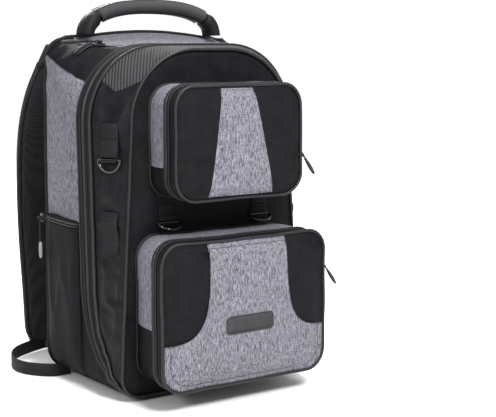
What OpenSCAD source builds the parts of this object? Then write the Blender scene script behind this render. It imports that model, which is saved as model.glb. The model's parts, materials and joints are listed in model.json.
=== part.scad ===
// Tackle backpack: a soft case with a hinged front section, two zipped front
// pockets, two side pockets, a lifting handle and a padded harness.
// Millimetres. X runs across the bag, -Y is the front, +Y the harness, +Z up.
// The origin is on the underside of the base, on the centre plane.

/* [Body] */
// Width of the body at the back seam
body_w = 320; // [300:2:400]
// Height of the back edge at its middle
body_h = 490; // [480:2:600]
// How far the arched top at the main zip stands below the back edge
zip_drop = 19; // [10:1:40]
// Depth of the side panels, from the back seam to the main zip band
side_d = 108; // [80:1:150]
// Width of the main zip band
band_w = 38; // [24:1:50]
// Thickness of the padded walls
wall = 4; // [3:0.5:7]
// Thickness of the moulded base
base_t = 6; // [4:0.5:10]

/* [Front section] */
// Depth of the gusset between the zip band and the front panel
gusset_d = 49; // [36:1:70]
// How much narrower than the body the front panel is under its arch
front_taper = 76; // [40:2:90]
// How much narrower than the body the front panel is at its foot
foot_taper = 38; // [20:2:44]

/* [Upper pocket] */
// Width of the upper pocket
upper_w = 192; // [150:2:220]
// Height of the upper pocket
upper_h = 147; // [110:1:150]
// Depth of the upper pocket
upper_d = 69; // [50:1:90]
// Height of the upper pocket's lower edge above the ground
upper_z = 275; // [272:1:290]

/* [Lower pocket] */
// Width of the lower pocket's face
lower_w = 252; // [200:2:262]
// Height of the lower pocket
lower_h = 194; // [150:1:198]
// Depth of the lower pocket
lower_d = 83; // [60:1:100]
// Height of the lower pocket's lower edge above the ground
lower_z = 31; // [28:1:40]

/* [Pocket details] */
// Depth of each pocket's lid, in front of its zip
lid_d = 24; // [16:1:34]
// Corner radius of the pocket faces
pocket_r = 29; // [18:1:40]
// Fabric thickness of the pockets
skin = 2.5; // [2:0.5:4]
// How far the side pockets stand out
side_pocket_out = 9; // [7.5:0.5:16]
// Height of the side pocket zips
side_zip_z = 228; // [170:1:260]

/* [Harness] */
// Width of the shoulder straps at the yoke
strap_w = 76; // [60:1:92]
// Thickness of the shoulder straps
strap_t = 18; // [12:1:24]
// Thickness of the strap pockets
strap_pocket_t = 9; // [5:1:14]
// Thickness of the back pads
pad_t = 15; // [8:1:22]
// Height of the back pads' lower edge above the ground
pad_foot = 250; // [244:1:300]
// Height of the lumbar pad's lower edge above the ground
lumbar_foot = 60; // [40:1:60]
// Height of the lumbar pad
lumbar_h = 178; // [120:1:184]

/* [Handle] */
// Span of the handle between the middles of its ends
handle_span = 196; // [150:2:220]
// Rise of the handle above its pivot
handle_rise = 50; // [36:1:64]
// Width of the handle's grip
grip_w = 30; // [22:1:36]
// Thickness of the handle's grip
grip_t = 17; // [12:1:20]

/* [Fittings] */
// Width of the webbing tabs
tab_w = 25; // [20:1:30]
// Thickness of the webbing
webbing_t = 2.4; // [1.6:0.2:3]
// Inside width of the D-rings
ring_w = 29; // [24:1:36]
// Wire radius of the D-rings
ring_r = 1.7; // [1.2:0.1:2.4]
// Length of the zip pulls
pull_l = 60; // [40:1:70]
// Running clearance between moving pieces
play = 0.4; // [0.3:0.1:0.8]

/* [Hidden] */
$fn = 48;

// Stations along Y
band_back_y = 28;
back_y = band_back_y + side_d;
band_front_y = band_back_y - band_w;
front_y = band_front_y - gusset_d;
zip_y = (band_back_y + band_front_y) / 2;
zip_h = body_h - zip_drop;
// Widths of the front panel, and of the arch at the main zip
front_w = body_w - front_taper;
front_foot_w = body_w - foot_taper;
arch_w = body_w - 6;
valley_y = band_back_y + 0.48 * side_d;
valley_h = zip_h - 3;
// The top zip runs across the front of the flat run
top_zip_y = valley_y - 5;
// Corner radii of the body
arch_r = 100;
front_arch_r = 95;
foot_r = 30;
// How much the arch narrows towards its foot at either edge of the zip band
band_front_taper = 5;
band_back_taper = 3;
// How far the back edge's middle stands above its corners, and their radius
crown = 13;
back_corner_r = 22;
valley_r = 45;
// The front panel's arch stands this far below the main zip's
front_drop = 5;
// Hinge line of the front section
hinge_y = front_y + 2;
hinge_z = base_t + 2;
// Height at which the main zip leaves its upright run and curves forward
knee_z = 150;
// Gaps: sewn faces touch within a twentieth of a millimetre
sewn = 0.05;
part_gap = 1.2;
skin_t = 1.3;
// Stations of the pockets
upper_zip_y = front_y - upper_d + lid_d;
upper_face_y = front_y - upper_d;
lower_zip_y = front_y - lower_d + lid_d;
lower_face_y = front_y - lower_d;
lower_taper = 8;

// ---- Curves -------------------------------------------------------------

function arc(c, r, a0, a1, n = 10) =
  [for (i = [0:n]) let (a = a0 + (a1 - a0) * i / n) [c[0] + r * cos(a), c[1] + r * sin(a)]];

function mirrored(pts) = [for (i = [len(pts) - 1:-1:0]) [-pts[i][0], pts[i][1]]];

// Outline of the body seen from the front: half width foot at the bottom and
// wide under the top corners, shrunk all round by inset.
function outline(foot, wide, lo, hi, r_foot, r_top, rise = 0, inset = 0) =
  let (
    z0 = lo + r_foot,
    z1 = hi - r_top,
    half = concat(
      arc([foot - r_foot, z0], r_foot - inset, -90, 0),
      [for (i = [1:side_steps - 1]) let (t = i / side_steps)
        [foot - inset + (wide - foot) * t, z0 + (z1 - z0) * t]],
      arc([wide - r_top, z1], r_top - inset, 0, 90)
    )
  )
  concat(half, [[0, hi + rise - inset]], mirrored(half));

// Steps up each side, so that the twisted sides stay smooth
side_steps = 8;

function rounded(w, h, r, z0) =
  concat(
    arc([w / 2 - r, z0 + r], r, -90, 0), arc([w / 2 - r, z0 + h - r], r, 0, 90),
    arc([r - w / 2, z0 + h - r], r, 90, 180), arc([r - w / 2, z0 + r], r, 180, 270)
  );

function at_y(pts, y) = [for (p = pts) [p[0], y, p[1]]];

// Catmull-Rom curve through hand-placed points
function spline(p, steps = 6) =
  [for (i = [0:len(p) - 2], s = [0:steps - (i == len(p) - 2 ? 0 : 1)])
    let (
      a = p[max(i - 1, 0)], b = p[i], c = p[i + 1], d = p[min(i + 2, len(p) - 1)],
      t = s / steps
    )
    0.5 * (2 * b + (c - a) * t + (2 * a - 5 * b + 4 * c - d) * t * t
      + (3 * b - a - 3 * c + d) * t * t * t)];

function normal_2d(p, i) =
  let (d = p[min(i + 1, len(p) - 1)] - p[max(i - 1, 0)]) [-d[1], d[0]] / norm(d);

// Strip of thickness t around a path, moved sideways by off
function band(path, t, off = 0) =
  concat(
    [for (i = [0:len(path) - 1]) path[i] + normal_2d(path, i) * (off + t / 2)],
    [for (i = [len(path) - 1:-1:0]) path[i] + normal_2d(path, i) * (off - t / 2)]
  );

// Straight-sided skin over rings of points, lowest Y first
module loft(rings) {
  n = len(rings[0]);
  m = len(rings);
  sides = [for (k = [0:m - 2], i = [0:n - 1], h = [0:1])
    let (a = k * n + i, b = k * n + (i + 1) % n)
    h == 0 ? [a, b, b + n] : [a, b + n, a + n]];
  ends = [[for (i = [n - 1:-1:0]) i], [for (i = [0:n - 1]) (m - 1) * n + i]];
  polyhedron(points = [for (r = rings) each r], faces = concat(sides, ends), convexity = 6);
}

// Prism across the bag from an outline in the YZ plane
module side_prism(pts, x0, x1) {
  translate([x0, 0, 0]) rotate([90, 0, 90]) linear_extrude(x1 - x0) polygon(pts);
}

// Prism along Y from an outline in the XZ plane
module front_prism(pts, y0, y1) {
  translate([0, y1, 0]) rotate([90, 0, 0]) linear_extrude(y1 - y0) polygon(pts);
}

module both_sides() {
  children();
  mirror([1, 0, 0]) children();
}

// ---- Body form ----------------------------------------------------------

// Whole outer form of the bag, shrunk all round by inset
module body_form(inset = 0) {
  loft([
    at_y(outline(front_foot_w / 2, front_w / 2, base_t, zip_h - front_drop, foot_r - 4,
      front_arch_r, 0, inset), front_y + inset),
    at_y(outline(arch_w / 2 - band_front_taper, arch_w / 2, base_t, zip_h, foot_r, arch_r, 0,
      inset), band_front_y),
    at_y(outline(arch_w / 2 - band_back_taper, arch_w / 2, base_t, zip_h, foot_r, arch_r, 0,
      inset), band_back_y),
    at_y(outline(arch_w / 2, arch_w / 2, base_t, valley_h, foot_r, valley_r, 0, inset),
      valley_y),
    at_y(outline(body_w / 2, body_w / 2 - 6, base_t, body_h - crown, foot_r, back_corner_r,
      crown, inset), back_y - inset)
  ]);
}

// Side view of the main zip: upright above the knee, then forward to the hinge
function zip_line(z, shift = 0) =
  let (t = max(0, (knee_z - z) / (knee_z - hinge_z)))
  zip_y + shift * (1 - pow(t, 2.1)) - (zip_y - hinge_y) * pow(t, 2.1);

zip_steps = 14;
function zip_curve(shift) =
  concat(
    [for (i = [0:zip_steps]) let (z = hinge_z + (knee_z - hinge_z) * i / zip_steps)
      [zip_line(z, shift), z]],
    [[zip_y + shift, body_h + 40]]
  );

module behind_zip(shift, gap) {
  c = zip_curve(shift);
  side_prism(concat([for (p = c) p + [gap, 0]],
    [[back_y + 60, body_h + 40], [back_y + 60, -30], [hinge_y + gap, -30]]), -body_w, body_w);
}

module before_zip(shift, gap) {
  c = zip_curve(shift);
  side_prism(concat([for (p = c) p - [gap, 0]],
    [[front_y - 60, body_h + 40], [front_y - 60, hinge_z]]), -body_w, body_w);
}

module body_skin(t) {
  difference() {
    body_form(-t);
    body_form(-sewn);
  }
}

module main_shell() {
  color([0.14, 0.14, 0.15])
  intersection() {
    difference() {
      body_form();
      body_form(wall);
    }
    behind_zip(0, part_gap / 2);
  }
}

module base_panel() {
  foot_front = front_foot_w / 2 - foot_r + 4;
  foot_back = body_w / 2 - foot_r;
  r = 14;
  color([0.1, 0.1, 0.11])
  linear_extrude(base_t - sewn)
  hull()
  both_sides() {
    translate([foot_front - r, front_y + 6 + r]) circle(r);
    translate([foot_back - r, back_y - r]) circle(r);
  }
}

// Grey cloth on the side, above the pocket, with its slanted top edge
module side_panel(s) {
  front_edge = band_back_y + 2;
  back_edge = back_y - 3;
  foot = side_zip_z + 8;
  rear_cut = 30;
  zip_cut = 48;
  color([0.45, 0.46, 0.48])
  intersection() {
    body_skin(skin_t);
    side_prism([[front_edge, foot], [back_edge, foot],
      [back_edge, body_h - rear_cut], [front_edge, zip_h - zip_cut]],
      s < 0 ? -body_w : 40, s < 0 ? -40 : body_w);
  }
}

module side_panel_left() side_panel(-1);
module side_panel_right() side_panel(1);

// Half width of the grey cloth on top, and of the zip across it
top_half = 104;
top_zip_half = 112;
top_tape_w = 15;

module top_panel() {
  front_edge = band_back_y + 14;
  back_edge = back_y - 3;
  color([0.55, 0.56, 0.58])
  intersection() {
    body_skin(skin_t);
    translate([-top_half, front_edge, valley_h - 30])
      cube([2 * top_half, back_edge - front_edge, 80]);
    union() {
      translate([-body_w / 2, top_zip_y + 8, 0]) cube([body_w, 200, 2 * body_h]);
      translate([-body_w / 2, -200, 0]) cube([body_w, 200 + top_zip_y - 8, 2 * body_h]);
    }
  }
}

module top_zip_tape() {
  color([0.06, 0.06, 0.07])
  intersection() {
    body_skin(skin_t);
    translate([-top_zip_half, top_zip_y - top_tape_w / 2, valley_h - 30])
      cube([2 * top_zip_half, top_tape_w, 60]);
  }
}

// Stiff sheet just inside the back wall
module frame_sheet() {
  margin = 30;
  sheet_t = 2.5;
  color([0.85, 0.85, 0.83])
  front_prism(rounded(body_w - 2 * margin, body_h - 2 * margin, margin, base_t + 14),
    back_y - wall - 1 - sheet_t, back_y - wall - 1);
}

// ---- Back padding -------------------------------------------------------

module back_pads() {
  pad_in = 36;
  pad_out = body_w / 2 - 30;
  pad_top = body_h - 56;
  pad_r = 34;
  color([0.1, 0.1, 0.11])
  both_sides()
    translate([(pad_in + pad_out) / 2, 0, 0])
      front_prism(rounded(pad_out - pad_in, pad_top - pad_foot, pad_r, pad_foot),
        back_y + sewn, back_y + pad_t);
}

module lumbar_pad() {
  lumbar_w = body_w - 66;
  lumbar_r = 36;
  color([0.12, 0.12, 0.13])
  front_prism(rounded(lumbar_w, lumbar_h, lumbar_r, lumbar_foot),
    back_y + sewn, back_y + pad_t * 0.8);
}

// ---- Side pockets -------------------------------------------------------

side_pocket_foot = base_t + 14;
side_front_y = band_back_y + 6;
side_back_y = back_y - 6;

module side_pocket(s) {
  x0 = s < 0 ? -body_w : 60;
  x1 = s < 0 ? -60 : body_w;
  color([0.13, 0.13, 0.14])
  difference() {
    intersection() {
      body_form(-side_pocket_out);
      side_prism([[side_front_y, side_pocket_foot], [side_back_y, side_pocket_foot],
        [side_back_y, side_zip_z], [side_front_y, side_zip_z]], x0, x1);
    }
    intersection() {
      body_form(-(side_pocket_out - 1.2));
      side_prism([[side_front_y + 2, side_pocket_foot + 2],
        [side_back_y - 2, side_pocket_foot + 2], [side_back_y - 2, side_zip_z + 1],
        [side_front_y + 2, side_zip_z + 1]], x0, x1);
    }
    body_form(-0.1);
  }
}

module side_pocket_left() side_pocket(-1);
module side_pocket_right() side_pocket(1);

module side_zip_tapes() {
  color([0.06, 0.06, 0.07])
  difference() {
    intersection() {
      body_form(-side_pocket_out);
      union() {
        for (s = [-1, 1])
          side_prism([[side_front_y, side_zip_z + 0.1], [side_back_y, side_zip_z + 0.1],
            [side_back_y, side_zip_z + 7.5], [side_front_y, side_zip_z + 7.5]],
            s < 0 ? -body_w : 60, s < 0 ? -60 : body_w);
      }
    }
    body_form(-0.1);
  }
}

// ---- Main zip -----------------------------------------------------------

tape_t = 1.6;

module main_zip_rear() {
  color([0.09, 0.09, 0.1])
  intersection() {
    body_skin(tape_t);
    behind_zip(0, part_gap / 2);
    before_zip(band_w / 2, 0);
  }
}

module main_zip_front() {
  color([0.09, 0.09, 0.1])
  intersection() {
    body_skin(tape_t);
    before_zip(0, part_gap / 2);
    behind_zip(-band_w / 2, 0);
    translate([-body_w, -200, hinge_z + 12]) cube([2 * body_w, 400, 600]);
  }
}

// ---- Front section ------------------------------------------------------

module front_shell() {
  color([0.14, 0.14, 0.15])
  intersection() {
    difference() {
      body_form();
      body_form(wall);
    }
    before_zip(0, part_gap / 2);
  }
}

piping_w = 4;

module front_piping() {
  module edge(inset)
    polygon(outline(front_foot_w / 2, front_w / 2, base_t, zip_h - front_drop, foot_r - 4,
      front_arch_r, 0, inset));
  color([0.2, 0.2, 0.21])
  intersection() {
    translate([0, front_y - sewn, 0]) rotate([90, 0, 0])
      linear_extrude(3)
      difference() {
        edge(0);
        edge(piping_w);
      }
    translate([-body_w, -400, hinge_z]) cube([2 * body_w, 800, 600]);
  }
}

// Half widths at height z of the front panel and of the zip band's front edge,
// and the angle of the gusset between them
function between(z, z0, z1) = min(1, max(0, (z - z0) / (z1 - z0)));
function panel_half(z) =
  front_foot_w / 2 + (front_w - front_foot_w) / 2
    * between(z, base_t + foot_r - 4, zip_h - front_drop - front_arch_r);
function band_half(z) =
  arch_w / 2 - band_front_taper * (1 - between(z, base_t + foot_r, zip_h - arch_r));
function gusset_angle(z) = atan2(band_half(z) - panel_half(z), gusset_d);

// Puts children on the right-hand gusset: local +Y faces out, +X runs along it
module on_gusset(z) {
  translate([(band_half(z) + panel_half(z)) / 2, (band_front_y + front_y) / 2, z])
    rotate([0, 0, -90 - gusset_angle(z)])
      translate([0, tab_stand, 0])
        children();
}

tab_stand = 1;
loop_r = ring_r + play + 2.2;

// Webbing tab that holds a ring: the ring's bar runs along X through the loop
module ring_tab(h) {
  difference() {
    union() {
      translate([-tab_w / 2, 0, 0]) cube([tab_w, webbing_t, h]);
      translate([-tab_w / 2, loop_r, 0]) rotate([0, 90, 0]) cylinder(r = loop_r, h = tab_w);
    }
    translate([-tab_w, loop_r, 0]) rotate([0, 90, 0])
      cylinder(r = ring_r + play, h = 2 * tab_w);
  }
}

// D-ring hanging from its bar; the bar lies along X at the loop's middle
module d_ring(lay = 0) {
  color([0.08, 0.08, 0.09])
  translate([0, loop_r, 0]) rotate([lay, 0, 0]) {
    translate([-ring_w / 2 - ring_r, 0, 0]) rotate([0, 90, 0])
      cylinder(r = ring_r, h = ring_w + 2 * ring_r);
    rotate([90, 0, 0]) rotate([0, 0, 180])
      rotate_extrude(angle = 180) translate([ring_w / 2 + ring_r, 0]) circle(ring_r);
  }
}

gusset_tab_z = 325;
gusset_tab_h = 47;

module gusset_tabs() {
  color([0.18, 0.18, 0.19])
  both_sides() on_gusset(gusset_tab_z) ring_tab(gusset_tab_h);
}

module gusset_ring_right() on_gusset(gusset_tab_z) d_ring();
module gusset_ring_left() mirror([1, 0, 0]) gusset_ring_right();

loop_top = 256;
loop_foot = 199;

// Sewn webbing with an open slot near its top for a compression strap
module compression_loops() {
  loop_t = 5;
  slot_t = 2;
  slot_foot = 34;
  slot_h = 16;
  color([0.18, 0.18, 0.19])
  both_sides() on_gusset(loop_foot) {
    difference() {
      translate([-tab_w / 2, 0, 0]) cube([tab_w, loop_t, loop_top - loop_foot]);
      translate([-tab_w, (loop_t - slot_t) / 2, slot_foot]) cube([2 * tab_w, slot_t, slot_h]);
    }
  }
}

bridge_x = 72;
bridge_z = 240;
bridge_tab_h = 24;

module on_bridge(s) {
  translate([s * bridge_x, front_y - sewn, bridge_z]) rotate([0, 0, 180]) children();
}

module bridge_tabs() {
  color([0.18, 0.18, 0.19])
  for (s = [-1, 1]) on_bridge(s) ring_tab(bridge_tab_h);
}

// The bridge rings rest tipped forward over the lower pocket
bridge_lay = 62;
module bridge_ring_left() on_bridge(-1) d_ring(bridge_lay);
module bridge_ring_right() on_bridge(1) d_ring(bridge_lay);

// ---- Front pockets ------------------------------------------------------

// Tapered rounded box from y0 (front) to y1 (back), shrunk by t
module pocket_box(w0, w1, h, z0, y0, y1, t = 0) {
  loft([
    at_y(rounded(w0 - 2 * t, h - 2 * t, pocket_r - t, z0 + t), y0),
    at_y(rounded(w1 - 2 * t, h - 2 * t, pocket_r - t, z0 + t), y1)
  ]);
}

module pocket_base(w0, w1, h, z0, y0, y1) {
  difference() {
    pocket_box(w0, w1, h, z0, y0, y1);
    pocket_box(w0, w1, h, z0, y0 - 1, y1 + 1, skin);
  }
}

module pocket_lid(w0, w1, h, z0, y0, y1) {
  difference() {
    pocket_box(w0, w1, h, z0, y0, y1);
    pocket_box(w0, w1, h, z0, y0 + skin, y1 + 1, skin);
  }
}

module pocket_piping(w, h, z0, face_y) {
  color([0.2, 0.2, 0.21])
  translate([0, face_y - sewn, 0]) rotate([90, 0, 0])
    linear_extrude(2.6)
    difference() {
      polygon(rounded(w, h, pocket_r, z0));
      polygon(rounded(w - 2 * piping_w, h - 2 * piping_w, pocket_r - piping_w, z0 + piping_w));
    }
}

module upper_pocket_base() {
  color([0.5, 0.51, 0.53])
  pocket_base(upper_w, upper_w, upper_h, upper_z, upper_zip_y + play, front_y - sewn);
}

module upper_pocket_lid() {
  color([0.15, 0.15, 0.16])
  pocket_lid(upper_w, upper_w, upper_h, upper_z, upper_face_y, upper_zip_y - play);
}

module upper_piping() pocket_piping(upper_w, upper_h, upper_z, upper_face_y);

face_skin = 1;

module upper_stripe() {
  lo = upper_z + piping_w + 1;
  hi = upper_z + upper_h - piping_w - 1;
  color([0.6, 0.61, 0.63])
  front_prism([[-50, lo], [50, lo], [25, hi], [-27, hi]],
    upper_face_y - sewn - face_skin, upper_face_y - sewn);
}

lower_mid_w = lower_w - lower_taper * lid_d / lower_d;

module lower_pocket_base() {
  color([0.5, 0.51, 0.53])
  pocket_base(lower_mid_w, lower_w - 2 * lower_taper, lower_h, lower_z, lower_zip_y + play,
    front_y - sewn);
}

module lower_pocket_lid() {
  color([0.6, 0.61, 0.63])
  pocket_lid(lower_w, lower_mid_w, lower_h, lower_z, lower_face_y, lower_zip_y - play);
}

module lower_piping() pocket_piping(lower_w, lower_h, lower_z, lower_face_y);

// Black corner patches with their curved inner edge
module lower_patches() {
  top = lower_z + lower_h - piping_w - 1;
  edge_x = lower_w / 2 - piping_w - 1;
  r = pocket_r - piping_w - 1;
  color([0.15, 0.15, 0.16])
  both_sides()
    front_prism(concat(
      [[60, top]],
      spline([[60, top], [61, top - 52], [69, top - 96], [90, top - 119], [edge_x, top - 126]], 5),
      arc([edge_x - r, top - r], r, 0, 90, 8)),
      lower_face_y - sewn - face_skin, lower_face_y - sewn);
}

badge_z = 112;

module blank_badge() {
  color([0.09, 0.09, 0.1])
  translate([0, 0, badge_z]) front_prism(rounded(74, 24, 7, -12),
    lower_face_y - sewn - 2, lower_face_y - sewn);
}

// ---- Zip sliders and pulls ----------------------------------------------

slider_l = 12;
slider_t = 4;
ear_gap = 4;
pin_r = 0.9;
pin_y = slider_t + 2.6;

// Slider on a surface at local y = 0, with the pull's pin along X
module slider() {
  color([0.07, 0.07, 0.08]) {
    translate([-4.5, 0, -slider_l / 2]) cube([9, slider_t, slider_l]);
    for (s = [-1, 1])
      translate([s * (ear_gap / 2 + 0.7) - 0.7, slider_t - 0.01, -1.8])
        cube([1.4, pin_y - slider_t + pin_r + 0.8, 3.6]);
    translate([-ear_gap / 2 - 0.7, pin_y, 0]) rotate([0, 90, 0])
      cylinder(r = pin_r, h = ear_gap + 1.4);
  }
}

// Cord pull with a moulded grip; lean swings it out from the surface
module pull(lean = 0) {
  eye = ear_gap - 2 * play;
  grip_l = 22;
  color([0.05, 0.05, 0.06])
  translate([0, pin_y, 0]) rotate([lean, 0, 0])
  difference() {
    union() {
      translate([-eye / 2, 0, 0]) rotate([0, 90, 0]) cylinder(r = pin_r + play + 1, h = eye);
      translate([-1.2, -1.2, grip_l - pull_l]) cube([2.4, 2.4, pull_l - grip_l - pin_r - play]);
      translate([0, 0, -pull_l]) cylinder(r = 2.8, h = grip_l + 1);
    }
    translate([-eye, 0, 0]) rotate([0, 90, 0]) cylinder(r = pin_r + play, h = 2 * eye);
  }
}

module on_side(s, x, y, z) {
  translate([s * x, y, z]) rotate([0, 0, -90 * s]) children();
}

main_slider_z = 300;
module on_main_zip()
  on_side(1, arch_w / 2 + tape_t + play, zip_y, main_slider_z) children();
module main_slider() on_main_zip() slider();
module main_pull() on_main_zip() pull();

// The top zip's slider waits at its left end, its pull level over the corner
top_slider_x = 100;
top_pull_lean = 0;
module on_top_zip()
  translate([-top_slider_x, top_zip_y, valley_h + skin_t + 2 * play]) rotate([90, 0, 90])
    children();
module top_slider() on_top_zip() slider();
module top_pull() on_top_zip() pull(top_pull_lean);

side_slider_y = side_back_y - 8;
module on_side_zip(s)
  on_side(s, body_w / 2 + side_pocket_out + play, side_slider_y, side_zip_z + 3) children();
module side_slider_left() on_side_zip(-1) slider();
module side_slider_right() on_side_zip(1) slider();
module side_pull_left() on_side_zip(-1) pull();
module side_pull_right() on_side_zip(1) pull();

// The cord pulls of the front pockets are stiff and stand out a little
pocket_pull_lean = 35;
upper_slider_z = upper_z + 68;
module on_upper_zip()
  on_side(1, upper_w / 2 + play, upper_zip_y, upper_slider_z) children();
module upper_slider() on_upper_zip() slider();
module upper_pull() on_upper_zip() pull(pocket_pull_lean);

lower_slider_z = lower_z + lower_h - 38;
module on_lower_zip()
  on_side(1, lower_mid_w / 2 + play, lower_zip_y, lower_slider_z) children();
module lower_slider() on_lower_zip() slider();
module lower_pull() on_lower_zip() pull(pocket_pull_lean);

// ---- Handle -------------------------------------------------------------

handle_y = back_y - 22;
handle_z = body_h - 5;

module on_handle() translate([0, handle_y, handle_z]) children();

end_h = 16;
end_foot_r = 5;
end_t = 9;
end_half = 13;
grip_half = handle_span / 2 - 8;
grip_sag = handle_rise - grip_t / 2 - end_h / 2;
grip_rad = (grip_half * grip_half + grip_sag * grip_sag) / (2 * grip_sag);

module handle_grip() {
  sweep = asin(grip_half / grip_rad);
  oval = grip_w - grip_t;
  color([0.1, 0.1, 0.11])
  on_handle() translate([0, 0, handle_rise - grip_t / 2 - grip_rad]) rotate([90, 0, 0])
    rotate([0, 0, 90 - sweep]) rotate_extrude(angle = 2 * sweep)
      translate([grip_rad, 0]) {
        for (s = [-1, 1]) translate([0, s * oval / 2]) circle(grip_t / 2);
        square([grip_t, oval], center = true);
      }
}

// Sewn webbing ends that turn about the handle's foot
module handle_ends() {
  color([0.1, 0.1, 0.11])
  on_handle()
  for (s = [-1, 1])
    translate([s * (handle_span / 2 + 4) - end_t / 2, 0, 0])
      rotate([90, 0, 90]) linear_extrude(end_t) {
        circle(end_foot_r);
        polygon([[-end_foot_r, 0], [end_foot_r, 0], [end_half, end_h + 3],
          [-end_half, end_h + 3]]);
      }
}

// ---- Harness ------------------------------------------------------------

// Middle of the strap seen from the side, from the back edge to the lower end
strap_path = spline([
  [back_y + 6, body_h - 21], [back_y + 40, body_h - 50], [back_y + 84, body_h - 92],
  [back_y + 116, body_h - 148], [back_y + 129, body_h - 220], [back_y + 130, body_h - 310],
  [back_y + 122, body_h - 390], [back_y + 116, 12]
], 5);
yoke_joint = 5;
strap_gap = 4;
strap_pivot = strap_path[yoke_joint];
strap_out = body_w / 2 - 14;

function sub_path(p, i0, i1) = [for (i = [i0:i1]) p[i]];
function slope_at(p, i) = let (d = p[i + 1] - p[i - 1]) d / norm(d);

strap_dir = slope_at(strap_path, yoke_joint);
yoke_path = concat(sub_path(strap_path, 0, yoke_joint - 1), [strap_pivot - strap_dir * strap_gap]);
arm_path = concat([strap_pivot + strap_dir * strap_gap],
  sub_path(strap_path, yoke_joint + 1, len(strap_path) - 1));

// Front view of one strap: x of its inner edge over the height
strap_inner = spline([
  [strap_out - strap_w, body_h], [strap_out - strap_w + 2, body_h - 110],
  [strap_out - strap_w - 8, body_h - 200], [strap_out - strap_w - 20, body_h - 290],
  [strap_out - strap_w - 20, body_h - 380], [strap_out - strap_w - 8, 40],
  [strap_out - strap_w + 6, 10]
], 5);

module strap_outline() {
  polygon(concat(strap_inner, [[strap_out - 8, 10], [strap_out, 40], [strap_out + 4, body_h]]));
}

// Keeps what lies inside the right strap's front view between two heights
module strap_window(z0, z1) {
  intersection() {
    translate([0, back_y + 300, 0]) rotate([90, 0, 0]) linear_extrude(400) strap_outline();
    translate([0, -100, z0]) cube([body_w, 700, z1 - z0]);
    children();
  }
}

module yoke() {
  neck_w = 2 * (strap_out - strap_w) - 4;
  color([0.4, 0.41, 0.43])
  difference() {
    side_prism(band(yoke_path, strap_t - 2), -strap_out - 2, strap_out + 2);
    translate([0, back_y + 200, 0]) rotate([90, 0, 0]) linear_extrude(400)
      polygon(concat(
        [[neck_w / 2, body_h - 180]],
        arc([neck_w / 2 - 34, body_h - 36 - 34], 34, 0, 90, 8),
        arc([34 - neck_w / 2, body_h - 36 - 34], 34, 90, 180, 8),
        [[-neck_w / 2, body_h - 180]]));
    body_form(-pad_t * 0.2);
  }
}

module strap_right() {
  color([0.42, 0.43, 0.45])
  strap_window(20, body_h)
    side_prism(band(arm_path, strap_t), 0, body_w);
}
module strap_left() mirror([1, 0, 0]) strap_right();

pocket_foot_z = 46;
pocket_top_z = 236;

module strap_pocket_right() {
  color([0.2, 0.2, 0.21])
  intersection() {
    strap_window(pocket_foot_z, pocket_top_z)
      side_prism(band(arm_path, strap_pocket_t, (strap_t + strap_pocket_t) / 2 + sewn),
        0, body_w);
    translate([strap_out - strap_w - 18, 0, 0]) cube([strap_w + 12, 600, 600]);
  }
}
module strap_pocket_left() mirror([1, 0, 0]) strap_pocket_right();

strap_mid_x = strap_out - strap_w / 2 - 6;
strap_tab_z = 284;
strap_tab_h = 36;
function path_y(z, i = 1) =
  arm_path[i][1] <= z || i >= len(arm_path) - 1
    ? arm_path[i][0] + (arm_path[i - 1][0] - arm_path[i][0])
      * (z - arm_path[i][1]) / (arm_path[i - 1][1] - arm_path[i][1])
    : path_y(z, i + 1);
strap_face_y = path_y(strap_tab_z) + strap_t / 2;

// Ring tab above the pocket and the upright webbing loop on the pocket
module on_strap()
  translate([strap_mid_x, strap_face_y + tab_stand, strap_tab_z])
    rotate([strap_tilt, 0, 0]) children();
strap_tilt = atan2(path_y(strap_tab_z) - path_y(strap_tab_z + strap_tab_h), strap_tab_h);

module strap_trim_right() {
  off = strap_t / 2 + strap_pocket_t + 2 * sewn;
  color([0.2, 0.2, 0.21]) {
    on_strap() ring_tab(strap_tab_h);
    intersection() {
      side_prism(band(arm_path, 2.4, off + 1.2), strap_mid_x - 9, strap_mid_x + 9);
      translate([0, 0, 132]) cube([body_w, 600, 66]);
    }
  }
}
module strap_trim_left() mirror([1, 0, 0]) strap_trim_right();

module strap_ring_right() on_strap() d_ring();
module strap_ring_left() mirror([1, 0, 0]) strap_ring_right();

lock_w = 36;
lock_h = 20;
lock_t = 6;
lock_slot = 3.4;
lock_bar = 2.8;
lock_side = 4;
strap_foot_z = 20;

// Ladder lock under the strap's lower end: a frame with three bars
module ladder_lock_right() {
  color([0.06, 0.06, 0.07])
  translate([strap_out - strap_w / 2 - 6, path_y(strap_foot_z) - lock_t / 2,
    strap_foot_z - sewn - lock_h])
  difference() {
    translate([-lock_w / 2, 0, lock_side]) cube([lock_w, lock_t, lock_h - lock_side]);
    for (k = [0, 1])
      translate([-lock_w / 2 + lock_side, -1, 6.5 + k * (lock_slot + lock_bar)])
        cube([lock_w - 2 * lock_side, lock_t + 2, lock_slot]);
  }
}
module ladder_lock_left() mirror([1, 0, 0]) ladder_lock_right();

// Lower webbing: from the base's side seam, out and round behind the bag
lower_route = spline([
  [body_w / 2 - 26, back_y - 26], [body_w / 2 + 8, back_y - 22],
  [body_w / 2 + 36, back_y + 8], [body_w / 2 + 40, back_y + 44],
  [body_w / 2 + 22, back_y + 84], [body_w / 2 - 6, back_y + 104]
], 5);

lower_web_w = 13;

module lower_webbing() {
  rim = 10.5;
  color([0.13, 0.13, 0.14])
  difference() {
    both_sides()
      translate([0, 0, 0.6]) linear_extrude(lower_web_w)
        polygon(band(lower_route, webbing_t));
    translate([0, 0, -1]) linear_extrude(base_t + 1) hull() both_sides() {
      translate([body_w / 2 - 30, back_y - 10]) circle(rim);
      translate([60, front_y + 20]) circle(rim);
    }
    body_form(-0.1);
  }
}

// ---- Chest strap --------------------------------------------------------

chest_z = 196;
chest_x = strap_out - strap_w - 34;
chest_y = path_y(chest_z);

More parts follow.
